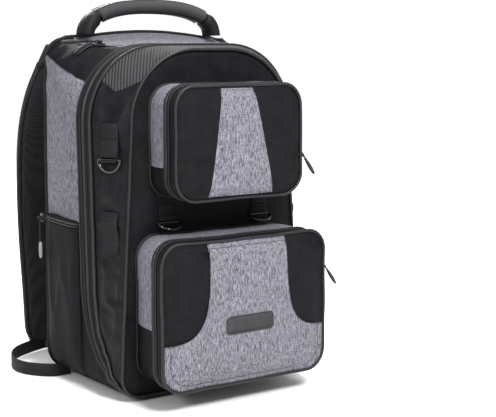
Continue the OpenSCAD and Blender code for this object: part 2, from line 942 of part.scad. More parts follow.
chest_web_w = 20;
chest_web_t = 2;
buckle_w = 26;
buckle_t = 8;
buckle_h = 16;
prong_w = 4;
prong_t = 3.2;
prong_step = 9;
socket_w = 28;
socket_t = 9;

// Webbing that hangs from a pin at its top, with its buckle at the end
module chest_webbing(l) {
  color([0.14, 0.14, 0.15])
  translate([-chest_web_w / 2, -chest_web_t / 2, -l]) cube([chest_web_w, chest_web_t, l]);
}

male_l = 136;
male_pivot = [-chest_x, chest_y, chest_z - 12];

module chest_strap_male() {
  translate(male_pivot) {
    chest_webbing(male_l);
    color([0.06, 0.06, 0.07]) translate([0, 0, -male_l - 14]) {
      translate([-buckle_w / 2, -buckle_t / 2, 0]) cube([buckle_w, buckle_t, buckle_h]);
      for (s = [-1, 0, 1])
        translate([s * prong_step - prong_w / 2, -prong_t / 2, -buckle_h])
          cube([prong_w, prong_t, buckle_h + 1]);
    }
  }
}

female_l = 34;
female_pivot = [chest_x, chest_y, chest_z - 4];
female_lean = 40;

module chest_strap_female() {
  translate(female_pivot) rotate([0, female_lean, 0]) {
    chest_webbing(female_l);
    color([0.06, 0.06, 0.07]) translate([-socket_w / 2, -socket_t / 2, 2 - female_l - socket_w])
      cube([socket_w, socket_t, socket_w]);
  }
}

main_shell();
base_panel();
side_panel_left();
side_panel_right();
top_panel();
frame_sheet();
back_pads();
lumbar_pad();
side_pocket_left();
side_pocket_right();
side_zip_tapes();
top_zip_tape();
main_zip_rear();
yoke();
lower_webbing();
front_shell();
front_piping();
main_zip_front();
gusset_tabs();
compression_loops();
bridge_tabs();
upper_pocket_base();
lower_pocket_base();
upper_pocket_lid();
upper_piping();
upper_stripe();
lower_pocket_lid();
lower_piping();
lower_patches();
blank_badge();
gusset_ring_left();
gusset_ring_right();
bridge_ring_left();
bridge_ring_right();
strap_ring_left();
strap_ring_right();
handle_grip();
handle_ends();
strap_left();
strap_pocket_left();
strap_trim_left();
ladder_lock_left();
strap_right();
strap_pocket_right();
strap_trim_right();
ladder_lock_right();
chest_strap_male();
chest_strap_female();
main_slider();
main_pull();
top_slider();
top_pull();
side_slider_left();
side_pull_left();
side_slider_right();
side_pull_right();
upper_slider();
upper_pull();
lower_slider();
lower_pull();
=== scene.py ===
"""Tackle backpack: cloth, webbing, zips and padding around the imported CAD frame."""

import json
import math

import bmesh
import bpy
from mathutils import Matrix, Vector, noise


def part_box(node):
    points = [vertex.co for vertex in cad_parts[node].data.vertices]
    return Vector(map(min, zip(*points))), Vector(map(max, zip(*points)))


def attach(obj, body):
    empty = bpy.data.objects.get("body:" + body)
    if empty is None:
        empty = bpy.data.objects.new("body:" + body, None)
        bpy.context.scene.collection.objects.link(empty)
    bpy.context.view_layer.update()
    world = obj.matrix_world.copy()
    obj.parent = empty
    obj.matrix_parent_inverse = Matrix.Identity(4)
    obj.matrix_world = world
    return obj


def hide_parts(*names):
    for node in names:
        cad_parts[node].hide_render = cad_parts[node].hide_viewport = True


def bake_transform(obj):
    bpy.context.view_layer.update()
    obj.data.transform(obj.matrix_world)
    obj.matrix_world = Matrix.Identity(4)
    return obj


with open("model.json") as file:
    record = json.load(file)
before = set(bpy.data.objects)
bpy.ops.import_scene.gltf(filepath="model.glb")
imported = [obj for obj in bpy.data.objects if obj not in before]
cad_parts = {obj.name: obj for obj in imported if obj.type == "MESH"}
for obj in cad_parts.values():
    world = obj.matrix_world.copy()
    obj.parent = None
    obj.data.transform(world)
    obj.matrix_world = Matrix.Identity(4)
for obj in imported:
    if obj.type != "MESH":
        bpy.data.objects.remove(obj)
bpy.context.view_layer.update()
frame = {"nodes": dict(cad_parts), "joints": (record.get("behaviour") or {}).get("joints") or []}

MM = 0.001
UP = Vector((0, 0, 1))
REARWARD = Vector((0, 1, 0))
SIDES = ((-1, "left"), (1, "right"))
scene = bpy.context.scene


# ---- Camera ----------------------------------------------------------------

CAMERA_PLACE = (-0.798, -1.365, 0.478)
CAMERA_TURN = math.radians(33.2)
CAMERA_DIP = math.radians(8.4)
CAMERA_LENS = 82.5


def add_camera():
    data = bpy.data.cameras.new("view_camera")
    data.lens = CAMERA_LENS
    data.sensor_width = 36
    camera = bpy.data.objects.new("view_camera", data)
    camera.location = CAMERA_PLACE
    camera.rotation_euler = (math.pi / 2 - CAMERA_DIP, 0, -CAMERA_TURN)
    scene.collection.objects.link(camera)
    scene.camera = camera


add_camera()


# ---- Sizes from the frame --------------------------------------------------

def box_of(node):
    """Lowest and highest corner of a CAD node's box."""
    return [Vector(c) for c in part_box(node)]


def joint_place(name):
    for joint in frame["joints"]:
        if joint["name"] == name:
            return Vector(joint["pos_m"]), Vector(joint["axis"])
    raise KeyError(name)


_, body_hi = box_of("main_shell")
front_lo, front_hi = box_of("front_shell")
upper_lo, upper_hi = box_of("upper_pocket_lid")
lower_lo, lower_hi = box_of("lower_pocket_lid")
pad_lo, pad_hi = box_of("back_pads")
lumbar_lo, lumbar_hi = box_of("lumbar_pad")
handle_lo, handle_hi = box_of("handle_grip")

BACK_Y = body_hi.y
BODY_H = body_hi.z
HALF_W = body_hi.x
FLOOR_Z = front_lo.z
FRONT_Y = front_lo.y
ZIP_H = front_hi.z
ARCH_HALF = HALF_W - 3 * MM
REAR_D = 108 * MM
BAND_BACK_Y = BACK_Y - REAR_D
BAND_W = 38 * MM
BAND_FRONT_Y = BAND_BACK_Y - BAND_W
ZIP_Y = (BAND_BACK_Y + BAND_FRONT_Y) / 2
VALLEY_Y = BAND_BACK_Y + 0.48 * REAR_D
TOP_ZIP_Y = VALLEY_Y - 5 * MM
HINGE_Y = FRONT_Y + 2 * MM
HINGE_Z = FLOOR_Z + 2 * MM
KNEE_Z = 150 * MM
SIDE_ZIP_Z = 228 * MM
MIDDLE_Z = 240 * MM
PIPE_R = 2.1 * MM

# Stations of the body: y, half width at the foot and under the arch, lowest
# and highest z, corner radii at foot and top, and rise of the middle
STATIONS = [
    (FRONT_Y, HALF_W - 19 * MM, HALF_W - 38 * MM, FLOOR_Z, ZIP_H - 5 * MM, 26 * MM, 95 * MM, 0),
    (BAND_FRONT_Y, ARCH_HALF - 5 * MM, ARCH_HALF, FLOOR_Z, ZIP_H, 30 * MM, 100 * MM, 0),
    (BAND_BACK_Y, ARCH_HALF - 3 * MM, ARCH_HALF, FLOOR_Z, ZIP_H, 30 * MM, 100 * MM, 0),
    (VALLEY_Y, ARCH_HALF, ARCH_HALF, FLOOR_Z, ZIP_H - 3 * MM, 30 * MM, 45 * MM, 0),
    (BACK_Y, HALF_W, HALF_W - 6 * MM, FLOOR_Z, BODY_H - 13 * MM, 30 * MM, 22 * MM, 13 * MM),
]
# Shares of the half outline, from the bottom's middle to the top's middle
FOOT_START, FOOT_END, ARCH_START, ARCH_END = 0.17, 0.23, 0.69, 0.9


# ---- Small maths -----------------------------------------------------------

def lerp(a, b, t):
    return a + (b - a) * t


def smooth(t):
    t = min(1.0, max(0.0, t))
    return t * t * (3 - 2 * t)


def steps(n):
    return [i / n for i in range(n + 1)]


def spline(points, per_span=6):
    """Catmull-Rom curve through points."""
    pts = [Vector(p) for p in points]
    out = []
    for i in range(len(pts) - 1):
        a, b = pts[max(i - 1, 0)], pts[i]
        c, d = pts[i + 1], pts[min(i + 2, len(pts) - 1)]
        for k in range(per_span):
            t = k / per_span
            out.append(0.5 * (2 * b + (c - a) * t + (2 * a - 5 * b + 4 * c - d) * t * t
                              + (3 * b - a - 3 * c + d) * t ** 3))
    out.append(pts[-1])
    return out


def fuzz(p, x=1.0, y=1.0, z=1.0, seed=0.0):
    """Smooth noise from -1 to 1 with its own scale along each axis, per metre."""
    return noise.noise(Vector((p[0] * x + seed, p[1] * y - seed, p[2] * z + 2 * seed)))


# ---- Body form -------------------------------------------------------------

def section(y):
    y = min(BACK_Y, max(FRONT_Y, y))
    for a, b in zip(STATIONS, STATIONS[1:]):
        if y <= b[0]:
            t = (y - a[0]) / (b[0] - a[0])
            return [lerp(p, q, t) for p, q in zip(a[1:], b[1:])]
    return STATIONS[-1][1:]


def body_point(y, u):
    """Point of the body form at y. u runs from -1, the bottom's middle, up the left
    side, over the top at 0 and down the right side to 1."""
    foot, wide, lo, hi, foot_r, top_r, rise = section(y)
    h = 1 - abs(u)
    if h < FOOT_START:
        x, z = lerp(0, foot - foot_r, h / FOOT_START), lo
    elif h < FOOT_END:
        a = math.pi / 2 * (h - FOOT_START) / (FOOT_END - FOOT_START)
        x, z = foot - foot_r + foot_r * math.sin(a), lo + foot_r - foot_r * math.cos(a)
    elif h < ARCH_START:
        t = (h - FOOT_END) / (ARCH_START - FOOT_END)
        x, z = lerp(foot, wide, t), lerp(lo + foot_r, hi - top_r, t)
    elif h < ARCH_END:
        a = math.pi / 2 * (h - ARCH_START) / (ARCH_END - ARCH_START)
        x, z = wide - top_r + top_r * math.cos(a), hi - top_r + top_r * math.sin(a)
    else:
        t = (h - ARCH_END) / (1 - ARCH_END)
        x = lerp(wide - top_r, 0, t)
        z = hi + rise * math.sin(t * math.pi / 2)
    return Vector((math.copysign(x, u), y, z))


def body_normal(y, u):
    e, f = 0.004, 2 * MM
    across = body_point(y, min(1, u + e)) - body_point(y, max(-1, u - e))
    y0, y1 = max(FRONT_Y, y - f), min(BACK_Y, y + f)
    along = body_point(y1, u) - body_point(y0, u)
    n = along.cross(across).normalized()
    centre = Vector((0, y, MIDDLE_Z))
    return n if n.dot(body_point(y, u) - centre) > 0 else -n


def crease(p, x, y, z, seed):
    """Sharp ridges where cloth is pinched, from 0 to 1."""
    return max(0.0, 1 - 3.2 * abs(fuzz(p, x, y, z, seed))) ** 2


def slack(p):
    """How far the loose cloth stands in or out at p, beyond the drawn-up form."""
    x = abs(p.x)
    side = smooth((x - 0.1) / 0.03)
    rear = smooth((p.y - BAND_BACK_Y) / 0.012) * side
    gusset = smooth((BAND_FRONT_Y + 4 * MM - p.y) / 0.02) * smooth((p.y - FRONT_Y) / 0.012)
    corner = smooth((p.z - 0.39) / 0.05) * smooth((p.y - BAND_BACK_Y) / 0.02)
    # Long folds and pinched ridges in the gusset, deepest down its sides
    folds = fuzz(p, 9, 55, 16, 3) * 3.0 + fuzz(p, 24, 30, 40, 7) * 2.4 \
        + crease(p, 12, 20, 22, 15) * 2.2 + crease(p, 20, 34, 30, 27) * 1.4 \
        + fuzz(p, 80, 80, 110, 19) * 0.7
    out = gusset * folds * (0.4 + 0.6 * side)
    # Crumpled top corners behind the zip
    out += corner * smooth((x - 0.095) / 0.02) * (
        fuzz(p, 24, 34, 30, 11) * 3.4 + crease(p, 26, 30, 22, 4) * 2.6 + fuzz(p, 70, 60, 66, 2))
    # Gentle waves in the rear sides, and a slight unevenness all over
    out += rear * (fuzz(p, 10, 26, 8, 5) * 1.6 + fuzz(p, 20, 48, 30, 9) * 0.5)
    return (out + 0.35 * fuzz(p, 40, 40, 40, 1)) * MM


def on_body(y, u, out=0.0):
    p = body_point(y, u)
    return p + body_normal(y, u) * (out + slack(p))


def zip_line(z, shift=0.0):
    t = max(0.0, (KNEE_Z - z) / (KNEE_Z - HINGE_Z))
    return ZIP_Y + shift * (1 - t ** 2.1) - (ZIP_Y - HINGE_Y) * t ** 2.1


def zip_y_at(u, shift):
    """y of the main zip's line, moved sideways by shift, at place u round the body."""
    y = ZIP_Y
    for _ in range(3):
        y = zip_line(body_point(y, u).z, shift)
    return min(BACK_Y, max(FRONT_Y, y))


# ---- Node groups and materials ---------------------------------------------

def node_group(name, inputs, outputs):
    group = bpy.data.node_groups.new(name, "ShaderNodeTree")
    for label, default in inputs:
        socket = group.interface.new_socket(label, in_out="INPUT", socket_type="NodeSocketFloat")
        socket.default_value = default
    for label, kind in outputs:
        group.interface.new_socket(label, in_out="OUTPUT", socket_type=kind)
    nodes, links = group.nodes, group.links
    return group, nodes, links, nodes.new("NodeGroupInput"), nodes.new("NodeGroupOutput")


def object_place(nodes):
    """The point on the piece that a pattern is laid out by."""
    return nodes.new("ShaderNodeTexCoord").outputs["Object"]


def math_node(nodes, links, kind, a, b=None, c=None):
    node = nodes.new("ShaderNodeMath")
    node.operation = kind
    for slot, value in enumerate((a, b, c)):
        if value is None:
            continue
        if isinstance(value, (int, float)):
            node.inputs[slot].default_value = value
        else:
            links.new(value, node.inputs[slot])
    return node.outputs[0]


def noise_node(nodes, links, vector, scale, detail=2.0, stretch=None, rough=0.5):
    if stretch:
        mapping = nodes.new("ShaderNodeMapping")
        mapping.inputs["Scale"].default_value = stretch
        links.new(vector, mapping.inputs["Vector"])
        vector = mapping.outputs[0]
    tex = nodes.new("ShaderNodeTexNoise")
    tex.inputs["Detail"].default_value = detail
    tex.inputs["Roughness"].default_value = rough
    tex.inputs["Scale"].default_value = scale
    links.new(vector, tex.inputs["Vector"])
    return tex.outputs["Fac"]


def make_weave_group():
    """Plain weave seen the same from every side: Height, and Tone for its threads."""
    group, nodes, links, gin, gout = node_group(
        "plain_weave", [("Threads", 1400.0), ("Fuzz", 0.35)],
        [("Height", "NodeSocketFloat"), ("Tone", "NodeSocketFloat")])
    coord = object_place(nodes)
    split = nodes.new("ShaderNodeSeparateXYZ")
    links.new(coord, split.inputs[0])
    waves = []
    for axis in "XYZ":
        scaled = math_node(nodes, links, "MULTIPLY", split.outputs[axis], gin.outputs["Threads"])
        waves.append(math_node(nodes, links, "SINE", scaled))
    xy = math_node(nodes, links, "ADD", waves[0], waves[1])
    product = math_node(nodes, links, "MULTIPLY", xy, waves[2])
    spread = noise_node(nodes, links, coord, 900.0, 3.0)
    height = math_node(nodes, links, "MULTIPLY_ADD", product, 0.25, 0.5)
    mixed = math_node(nodes, links, "MULTIPLY_ADD", spread, gin.outputs["Fuzz"], height)
    links.new(mixed, gout.inputs["Height"])
    blotch = noise_node(nodes, links, coord, 60.0, 4.0)
    tone = math_node(nodes, links, "MULTIPLY_ADD", spread, 0.9, blotch)
    links.new(math_node(nodes, links, "SUBTRACT", tone, 0.45), gout.inputs["Tone"])
    return group


def make_melange_group():
    """Heathered yarn: light and dark slubs that run up the cloth."""
    group, nodes, links, gin, gout = node_group(
        "heather", [("Size", 1.0), ("Contrast", 1.0)],
        [("Tone", "NodeSocketFloat"), ("Height", "NodeSocketFloat")])
    coord = object_place(nodes)
    sized = nodes.new("ShaderNodeVectorMath")
    sized.operation = "SCALE"
    links.new(coord, sized.inputs[0])
    links.new(gin.outputs["Size"], sized.inputs["Scale"])
    vector = sized.outputs[0]
    up = noise_node(nodes, links, vector, 1.0, 2.0, (1000, 1000, 130), 0.6)
    cross = noise_node(nodes, links, vector, 1.0, 2.0, (300, 300, 900), 0.6)
    fleck = noise_node(nodes, links, vector, 1500.0, 1.0)
    both = math_node(nodes, links, "MULTIPLY_ADD", cross, 0.5, up)
    tone = math_node(nodes, links, "MULTIPLY_ADD", fleck, 0.35, both)
    centred = math_node(nodes, links, "SUBTRACT", tone, 0.925)
    scaled = math_node(nodes, links, "MULTIPLY", centred, gin.outputs["Contrast"])
    links.new(math_node(nodes, links, "ADD", scaled, 0.5), gout.inputs["Tone"])
    links.new(tone, gout.inputs["Height"])
    return group


def make_ribs_group():
    """Ribs across or along a strip, from the thread attribute kept in its mesh. Its Tone paints
    shade into the grooves and light onto the crests.
    """
    group, nodes, links, gin, gout = node_group(
        "ribs", [("Across", 0.0), ("Along", 1600.0)],
        [("Height", "NodeSocketFloat"), ("Tone", "NodeSocketFloat")])
    attribute = nodes.new("ShaderNodeAttribute")
    attribute.attribute_name = "thread"
    split = nodes.new("ShaderNodeSeparateXYZ")
    links.new(attribute.outputs["Vector"], split.inputs[0])
    across = math_node(nodes, links, "MULTIPLY", split.outputs["X"], gin.outputs["Across"])
    along = math_node(nodes, links, "MULTIPLY", split.outputs["Y"], gin.outputs["Along"])
    wave_a = math_node(nodes, links, "COSINE", across)
    wave_b = math_node(nodes, links, "COSINE", along)
    product = math_node(nodes, links, "MULTIPLY", wave_a, wave_b)
    height = math_node(nodes, links, "MULTIPLY_ADD", product, 0.5, 0.5)
    links.new(height, gout.inputs["Height"])
    coord = object_place(nodes)
    grit = noise_node(nodes, links, coord, 700.0, 3.0)
    # The rib height goes into the tone, giving a painted highlight on the crests and painted shade
    # in the grooves; the grit noise is the cloth's own uneven tone.
    tone = math_node(nodes, links, "MULTIPLY_ADD", grit, 0.6, height)
    links.new(math_node(nodes, links, "SUBTRACT", tone, 0.3), gout.inputs["Tone"])
    return group


def make_mesh_group():
    """Round holes of a spacer mesh: Hole is 1 inside a hole, where it also darkens the colour as
    painted shade.
    """
    group, nodes, links, gin, gout = node_group(
        "spacer_mesh", [("Pitch", 420.0)], [("Hole", "NodeSocketFloat")])
    coord = object_place(nodes)
    cells = nodes.new("ShaderNodeTexVoronoi")
    cells.inputs["Randomness"].default_value = 0.25
    links.new(gin.outputs["Pitch"], cells.inputs["Scale"])
    links.new(coord, cells.inputs["Vector"])
    hole = math_node(nodes, links, "LESS_THAN", cells.outputs["Distance"], 0.33)
    links.new(hole, gout.inputs["Hole"])
    return group


def make_wear_group():
    """Slow change of shade from handling, lint and fading."""
    group, nodes, links, gin, gout = node_group(
        "wear", [("Amount", 0.3)], [("Tone", "NodeSocketFloat")])
    coord = object_place(nodes)
    broad = noise_node(nodes, links, coord, 14.0, 4.0)
    lint = noise_node(nodes, links, coord, 260.0, 2.0, None, 0.8)
    mixed = math_node(nodes, links, "MULTIPLY_ADD", lint, 0.5, broad)
    centred = math_node(nodes, links, "SUBTRACT", mixed, 0.75)
    links.new(math_node(nodes, links, "MULTIPLY", centred, gin.outputs["Amount"]),
              gout.inputs["Tone"])
    return group


WEAVE = make_weave_group()
HEATHER = make_melange_group()
RIBS = make_ribs_group()
SPACER = make_mesh_group()
WEAR = make_wear_group()


def finish(name, dark, light, pattern_of, tone="Tone", height="Height", bump=0.3,
           depth=0.4 * MM, rough=(0.75, 0.9), coat=0.0, metal=0.0, wear=0.3, shine=0.15):
    """A material whose pattern comes from a node group."""
    material = bpy.data.materials.new(name)
    material.use_nodes = True
    nodes, links = material.node_tree.nodes, material.node_tree.links
    shader = nodes["Principled BSDF"]
    pattern = nodes.new("ShaderNodeGroup")
    pattern.node_tree, values = pattern_of
    for label, value in values.items():
        pattern.inputs[label].default_value = value
    worn = nodes.new("ShaderNodeGroup")
    worn.node_tree = WEAR
    worn.inputs["Amount"].default_value = wear
    mix = math_node(nodes, links, "ADD", pattern.outputs[tone], worn.outputs["Tone"])
    ramp = nodes.new("ShaderNodeValToRGB")
    ramp.color_ramp.elements[0].color = (*dark, 1)
    ramp.color_ramp.elements[1].color = (*light, 1)
    links.new(mix, ramp.inputs["Fac"])
    links.new(ramp.outputs["Color"], shader.inputs["Base Color"])
    spread = nodes.new("ShaderNodeMapRange")
    spread.inputs["To Min"].default_value = rough[0]
    spread.inputs["To Max"].default_value = rough[1]
    links.new(mix, spread.inputs["Value"])
    links.new(spread.outputs[0], shader.inputs["Roughness"])
    bumps = nodes.new("ShaderNodeBump")
    bumps.inputs["Strength"].default_value = bump
    bumps.inputs["Distance"].default_value = depth
    links.new(pattern.outputs[height], bumps.inputs["Height"])
    links.new(bumps.outputs["Normal"], shader.inputs["Normal"])
    shader.inputs["Specular IOR Level"].default_value = shine
    shader.inputs["Coat Weight"].default_value = coat
    shader.inputs["Metallic"].default_value = metal
    return material


def grey(v, warm=0.0):
    return (v + warm, v, v * 1.04 + 0.001)


def weave(threads, fuzz):
    return WEAVE, {"Threads": threads, "Fuzz": fuzz}


def ribs(across, along):
    return RIBS, {"Across": across, "Along": along}


CLOTH = weave(2600.0, 0.5)
black_cloth = finish("black_cloth", grey(0.001), grey(0.011, 0.0012), CLOTH,
                     bump=0.5, rough=(0.55, 0.8), shine=0.08)
nylon = finish("gusset_nylon", grey(0.001), grey(0.006), weave(3200.0, 0.2),
               bump=0.35, rough=(0.34, 0.52), shine=0.16)
pocket_cloth = finish("strap_pocket_cloth", grey(0.006), grey(0.02), CLOTH,
                      bump=0.35, rough=(0.5, 0.7), shine=0.12)
melange = finish("grey_melange", (0.021, 0.02, 0.024), (0.251, 0.24, 0.281),
                 (HEATHER, {"Size": 1.0, "Contrast": 2.2}), rough=(0.8, 0.95), wear=0.12)
# The materials made with ribs() (ribbed cloth, webbing, zip tape and coil, piping, thread, handle
# mesh) run from painted groove shade at their dark colour to painted crest highlight at their
# light colour, mixed with their own grit tone.
rib_cloth = finish("ribbed_cloth", grey(0.002), grey(0.045), ribs(0.0, 1500.0),
                   bump=0.8, depth=0.8 * MM, shine=0.3)
webbing = finish("webbing", grey(0.001), grey(0.016), ribs(0.0, 2600.0), bump=0.8,
                 depth=0.7 * MM, rough=(0.5, 0.7))
zip_tape = finish("zip_tape", grey(0.001), grey(0.011), ribs(3600.0, 0.0), bump=0.6,
                  rough=(0.6, 0.8))
zip_coil = finish("zip_coil", grey(0.002), grey(0.03), ribs(0.0, 4200.0), bump=1.0,
                  depth=0.8 * MM, rough=(0.3, 0.5), shine=0.5)
piping = finish("piping_tape", grey(0.002), grey(0.015), ribs(0.0, 3600.0),
                rough=(0.35, 0.5), shine=0.3)
thread = finish("sewing_thread", grey(0.003), grey(0.02), ribs(0.0, 5000.0), bump=0.5,
                shine=0.3)
# The holes take the near-black colour, which is painted shade inside the holes.
mesh_cloth = finish("spacer_mesh", grey(0.016), grey(0.001),
                    (SPACER, {"Pitch": 330.0}), tone="Hole", height="Hole", bump=-0.6,
                    depth=0.8 * MM, wear=0.2)
base_cloth = finish("base_cloth", grey(0.002), grey(0.014), weave(1100.0, 0.3),
                    bump=0.7, depth=0.6 * MM, rough=(0.5, 0.7))
lining = finish("lining", grey(0.015), grey(0.04), weave(3000.0, 0.3))
moulded = finish("moulded_plastic", grey(0.003), grey(0.014), weave(500.0, 1.0),
                 bump=0.05, rough=(0.28, 0.4), coat=0.2, shine=0.5)
ring_gloss = finish("ring_plastic", grey(0.003), grey(0.012), weave(300.0, 1.0),
                    bump=0.03, rough=(0.14, 0.24), coat=0.5, shine=0.5)
dark_metal = finish("slider_metal", grey(0.02), grey(0.07), weave(300.0, 1.0),
                    bump=0.05, rough=(0.25, 0.4), metal=0.9, shine=0.5)
rubber = finish("pull_rubber", grey(0.004), grey(0.02), weave(900.0, 0.6),
                bump=0.15, rough=(0.4, 0.55), shine=0.4)
badge_rubber = finish("badge_moulding", grey(0.004), grey(0.02),
                      weave(900.0, 0.6), bump=0.15, rough=(0.35, 0.5), shine=0.4)
handle_cloth = finish("handle_cloth", grey(0.002), grey(0.014), CLOTH, bump=0.4,
                      rough=(0.45, 0.7), shine=0.14)
handle_mesh = finish("handle_mesh", grey(0.002), grey(0.07),
                     ribs(1900.0, 1500.0), bump=0.9, depth=0.8 * MM, shine=0.3)
pale_rubber = finish("pale_rubber", grey(0.1), grey(0.3), weave(900.0, 0.6),
                     bump=0.15, rough=(0.4, 0.55), shine=0.4)


# ---- Mesh helpers ----------------------------------------------------------

CASE_MIDDLE = Vector((0, 0.03, 0.25))


def blank_mesh():
    """A mesh whose thread attribute holds metres across and along the cloth."""
    bm = bmesh.new()
    bm.verts.layers.float_vector.new("thread")
    return bm


def add_grid(bm, rows, closed=False):
    """Quads through rows of points."""
    layer = bm.verts.layers.float_vector["thread"]
    made, reach = [], 0.0
    for k, row in enumerate(rows):
        if k:
            mid = len(row) // 2
            reach += (row[mid] - rows[k - 1][mid]).length
        line, run = [], 0.0
        for i, p in enumerate(row):
            if i:
                run += (p - row[i - 1]).length
            v = bm.verts.new(p)
            v[layer] = (run, reach, 0)
            line.append(v)
        made.append(line)
    for a, b in zip(made, made[1:]):
        count = len(a)
        for i in range(count if closed else count - 1):
            j = (i + 1) % count
            bm.faces.new((a[i], a[j], b[j], b[i]))
    return made


def trim(bm, keep):
    """Cuts the mesh along keep(point) = 0 and drops the side where it is negative."""
    value = {v: keep(v.co) for v in bm.verts}
    for edge in list(bm.edges):
        a, b = edge.verts
        fa, fb = value[a], value[b]
        if fa * fb < 0:
            _, new = bmesh.utils.edge_split(edge, a, fa / (fa - fb))
            value[new] = 0.0
    for face in list(bm.faces):
        zeros = [v for v in face.verts if value[v] == 0.0]
        if len(zeros) == 2 and len(face.verts) > 3:
            if not any(set(zeros) == set(e.verts) for e in face.edges):
                bmesh.utils.face_split(face, zeros[0], zeros[1])
    gone = [f for f in bm.faces if sum(value[v] for v in f.verts) < 0]
    bmesh.ops.delete(bm, geom=gone, context="FACES")


def make_object(name, bm, material):
    mesh = bpy.data.meshes.new(name)
    bm.to_mesh(mesh)
    bm.free()
    mesh.shade_smooth()
    mesh.materials.append(material)
    obj = bpy.data.objects.new(name, mesh)
    scene.collection.objects.link(obj)
    return obj


def place_on(obj, body):
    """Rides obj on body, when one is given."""
    if body:
        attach(obj, body)
    return obj


def piece(name, bm, material, body):
    bmesh.ops.recalc_face_normals(bm, faces=bm.faces)
    return place_on(make_object(name, bm, material), body)


def face_outward(bm, centre):
    """Turns an open cloth's faces so that they look away from centre."""
    score = sum(f.normal.dot(f.calc_center_median() - centre) for f in bm.faces)
    if score < 0:
        bmesh.ops.reverse_faces(bm, faces=bm.faces)


def cloth(name, rows, material, body, thick=1.6 * MM, closed=False, centre=None, keep=(),
          capped=False):
    """One sheet of cloth from rows of points, trimmed by the keep functions."""
    bm = blank_mesh()
    made = add_grid(bm, rows, closed)
    if capped:
        bm.faces.new(made[-1])
    for rule in keep:
        trim(bm, rule)
    bmesh.ops.recalc_face_normals(bm, faces=bm.faces)
    face_outward(bm, centre if centre is not None else CASE_MIDDLE)
    obj = make_object(name, bm, material)
    solid = obj.modifiers.new("cloth", "SOLIDIFY")
    solid.thickness = thick
    solid.offset = -1
    solid.use_even_offset = False
    return place_on(obj, body)


def add_capped(bm, rings):
    """A closed solid through rings of points."""
    made = add_grid(bm, rings, True)
    bm.faces.new(made[0][::-1])
    bm.faces.new(made[-1])


def sweep(bm, path, profile, normals=None, closed=False, taper=None):
    """Carries profile (pairs: sideways, outwards) along path."""
    layer = bm.verts.layers.float_vector["thread"]
    count = len(path)
    if normals is None:
        normals = []
        last = None
        for i, p in enumerate(path):
            ahead = path[(i + 1) % count] if (closed or i < count - 1) else p
            behind = path[i - 1] if (closed or i) else p
            d = (ahead - behind).normalized()
            if last is None:
                last = d.orthogonal()
            last = (last - d * last.dot(d)).normalized()
            normals.append(last)
    rings, reach = [], 0.0
    run = [0.0]
    for a, b in zip(profile, profile[1:]):
        run.append(run[-1] + math.hypot(b[0] - a[0], b[1] - a[1]))
    for i, p in enumerate(path):
        ahead = path[(i + 1) % count] if (closed or i < count - 1) else p
        behind = path[i - 1] if (closed or i) else p
        d = (ahead - behind).normalized()
        n = (normals[i] - d * normals[i].dot(d)).normalized()
        side = d.cross(n)
        size = taper(i / (count - 1)) if taper else 1.0
        if i:
            reach += (p - path[i - 1]).length
        ring = []
        for k, (a, b) in enumerate(profile):
            v = bm.verts.new(p + side * a * size + n * b * size)
            v[layer] = (run[k], reach, 0)
            ring.append(v)
        rings.append(ring)
    m = len(profile)
    pairs = list(zip(rings, rings[1:])) + ([(rings[-1], rings[0])] if closed else [])
    for a, b in pairs:
        for k in range(m):
            bm.faces.new((a[k], a[(k + 1) % m], b[(k + 1) % m], b[k]))
    if not closed:
        bm.faces.new(rings[0][::-1])
        bm.faces.new(rings[-1])


def circle(r, n=8, squash=1.0):
    return [(r * math.cos(2 * math.pi * i / n), r * squash * math.sin(2 * math.pi * i / n))
            for i in range(n)]


def flat(width, thick):
    """Section of a webbing strip that lies on its underside, edges rounded."""
    w, t, e = width / 2, thick, min(thick * 0.4, width * 0.1)
    return [(-w + e, 0), (w - e, 0), (w, e), (w, t - e), (w - e, t), (0, t),
            (-w + e, t), (-w, t - e), (-w, e)]


def tube(name, path, radius, material, body, closed=False, normals=None, sides=8, squash=1.0):
    bm = blank_mesh()
    sweep(bm, path, circle(radius, sides, squash), normals, closed)
    return piece(name, bm, material, body)


def strip(name, path, normals, width, thick, material, body):
    bm = blank_mesh()
    sweep(bm, path, flat(width, thick), normals)
    return piece(name, bm, material, body)


def stitch_row(bm, path, normals, pitch=3.2 * MM, length=2.2 * MM, r=0.35 * MM):
    """A row of single stitches along path."""
    gaps = [(b - a).length for a, b in zip(path, path[1:])]
    total, at, k = sum(gaps), pitch / 2, 0
    walked = 0.0
    while at < total:
        while k < len(gaps) - 1 and walked + gaps[k] < at:
            walked += gaps[k]
            k += 1
        t = (at - walked) / gaps[k]
        p = path[k].lerp(path[k + 1], t)
        n = normals[k].lerp(normals[min(k + 1, len(normals) - 1)], t).normalized()
        d = (path[k + 1] - path[k]).normalized() * length / 2
        sweep(bm, [p - d - n * r, p - d * 0.6 + n * r * 0.4, p + d * 0.6 + n * r * 0.4,
                          p + d - n * r], circle(r, 5), [n] * 4)
        at += pitch


def stitches(name, runs, body, **sizes):
    bm = blank_mesh()
    for path, normals in runs:
        stitch_row(bm, path, normals, **sizes)
    return piece(name, bm, thread, body)


# ---- Case ------------------------------------------------------------------

AROUND = [lerp(-1, 1, t) for t in steps(320)]
ZIP_PLACES = [u for u in AROUND if abs(u) < 0.93]
RIB_PLACES = [u for u in AROUND if abs(u) < 0.36]
TOP_PLACES = [u for u in AROUND if abs(u) < 0.27]
TOP_ZIP_PLACES = [u for u in AROUND if abs(u) < 0.19]


def body_rows(y_at, count, out=0.0, places=AROUND):
    """Rows across the body from y_at(u, 0) to y_at(u, 1)."""
    return [[on_body(y_at(u, t), u, out(u, t) if callable(out) else out) for u in places]
            for t in steps(count)]


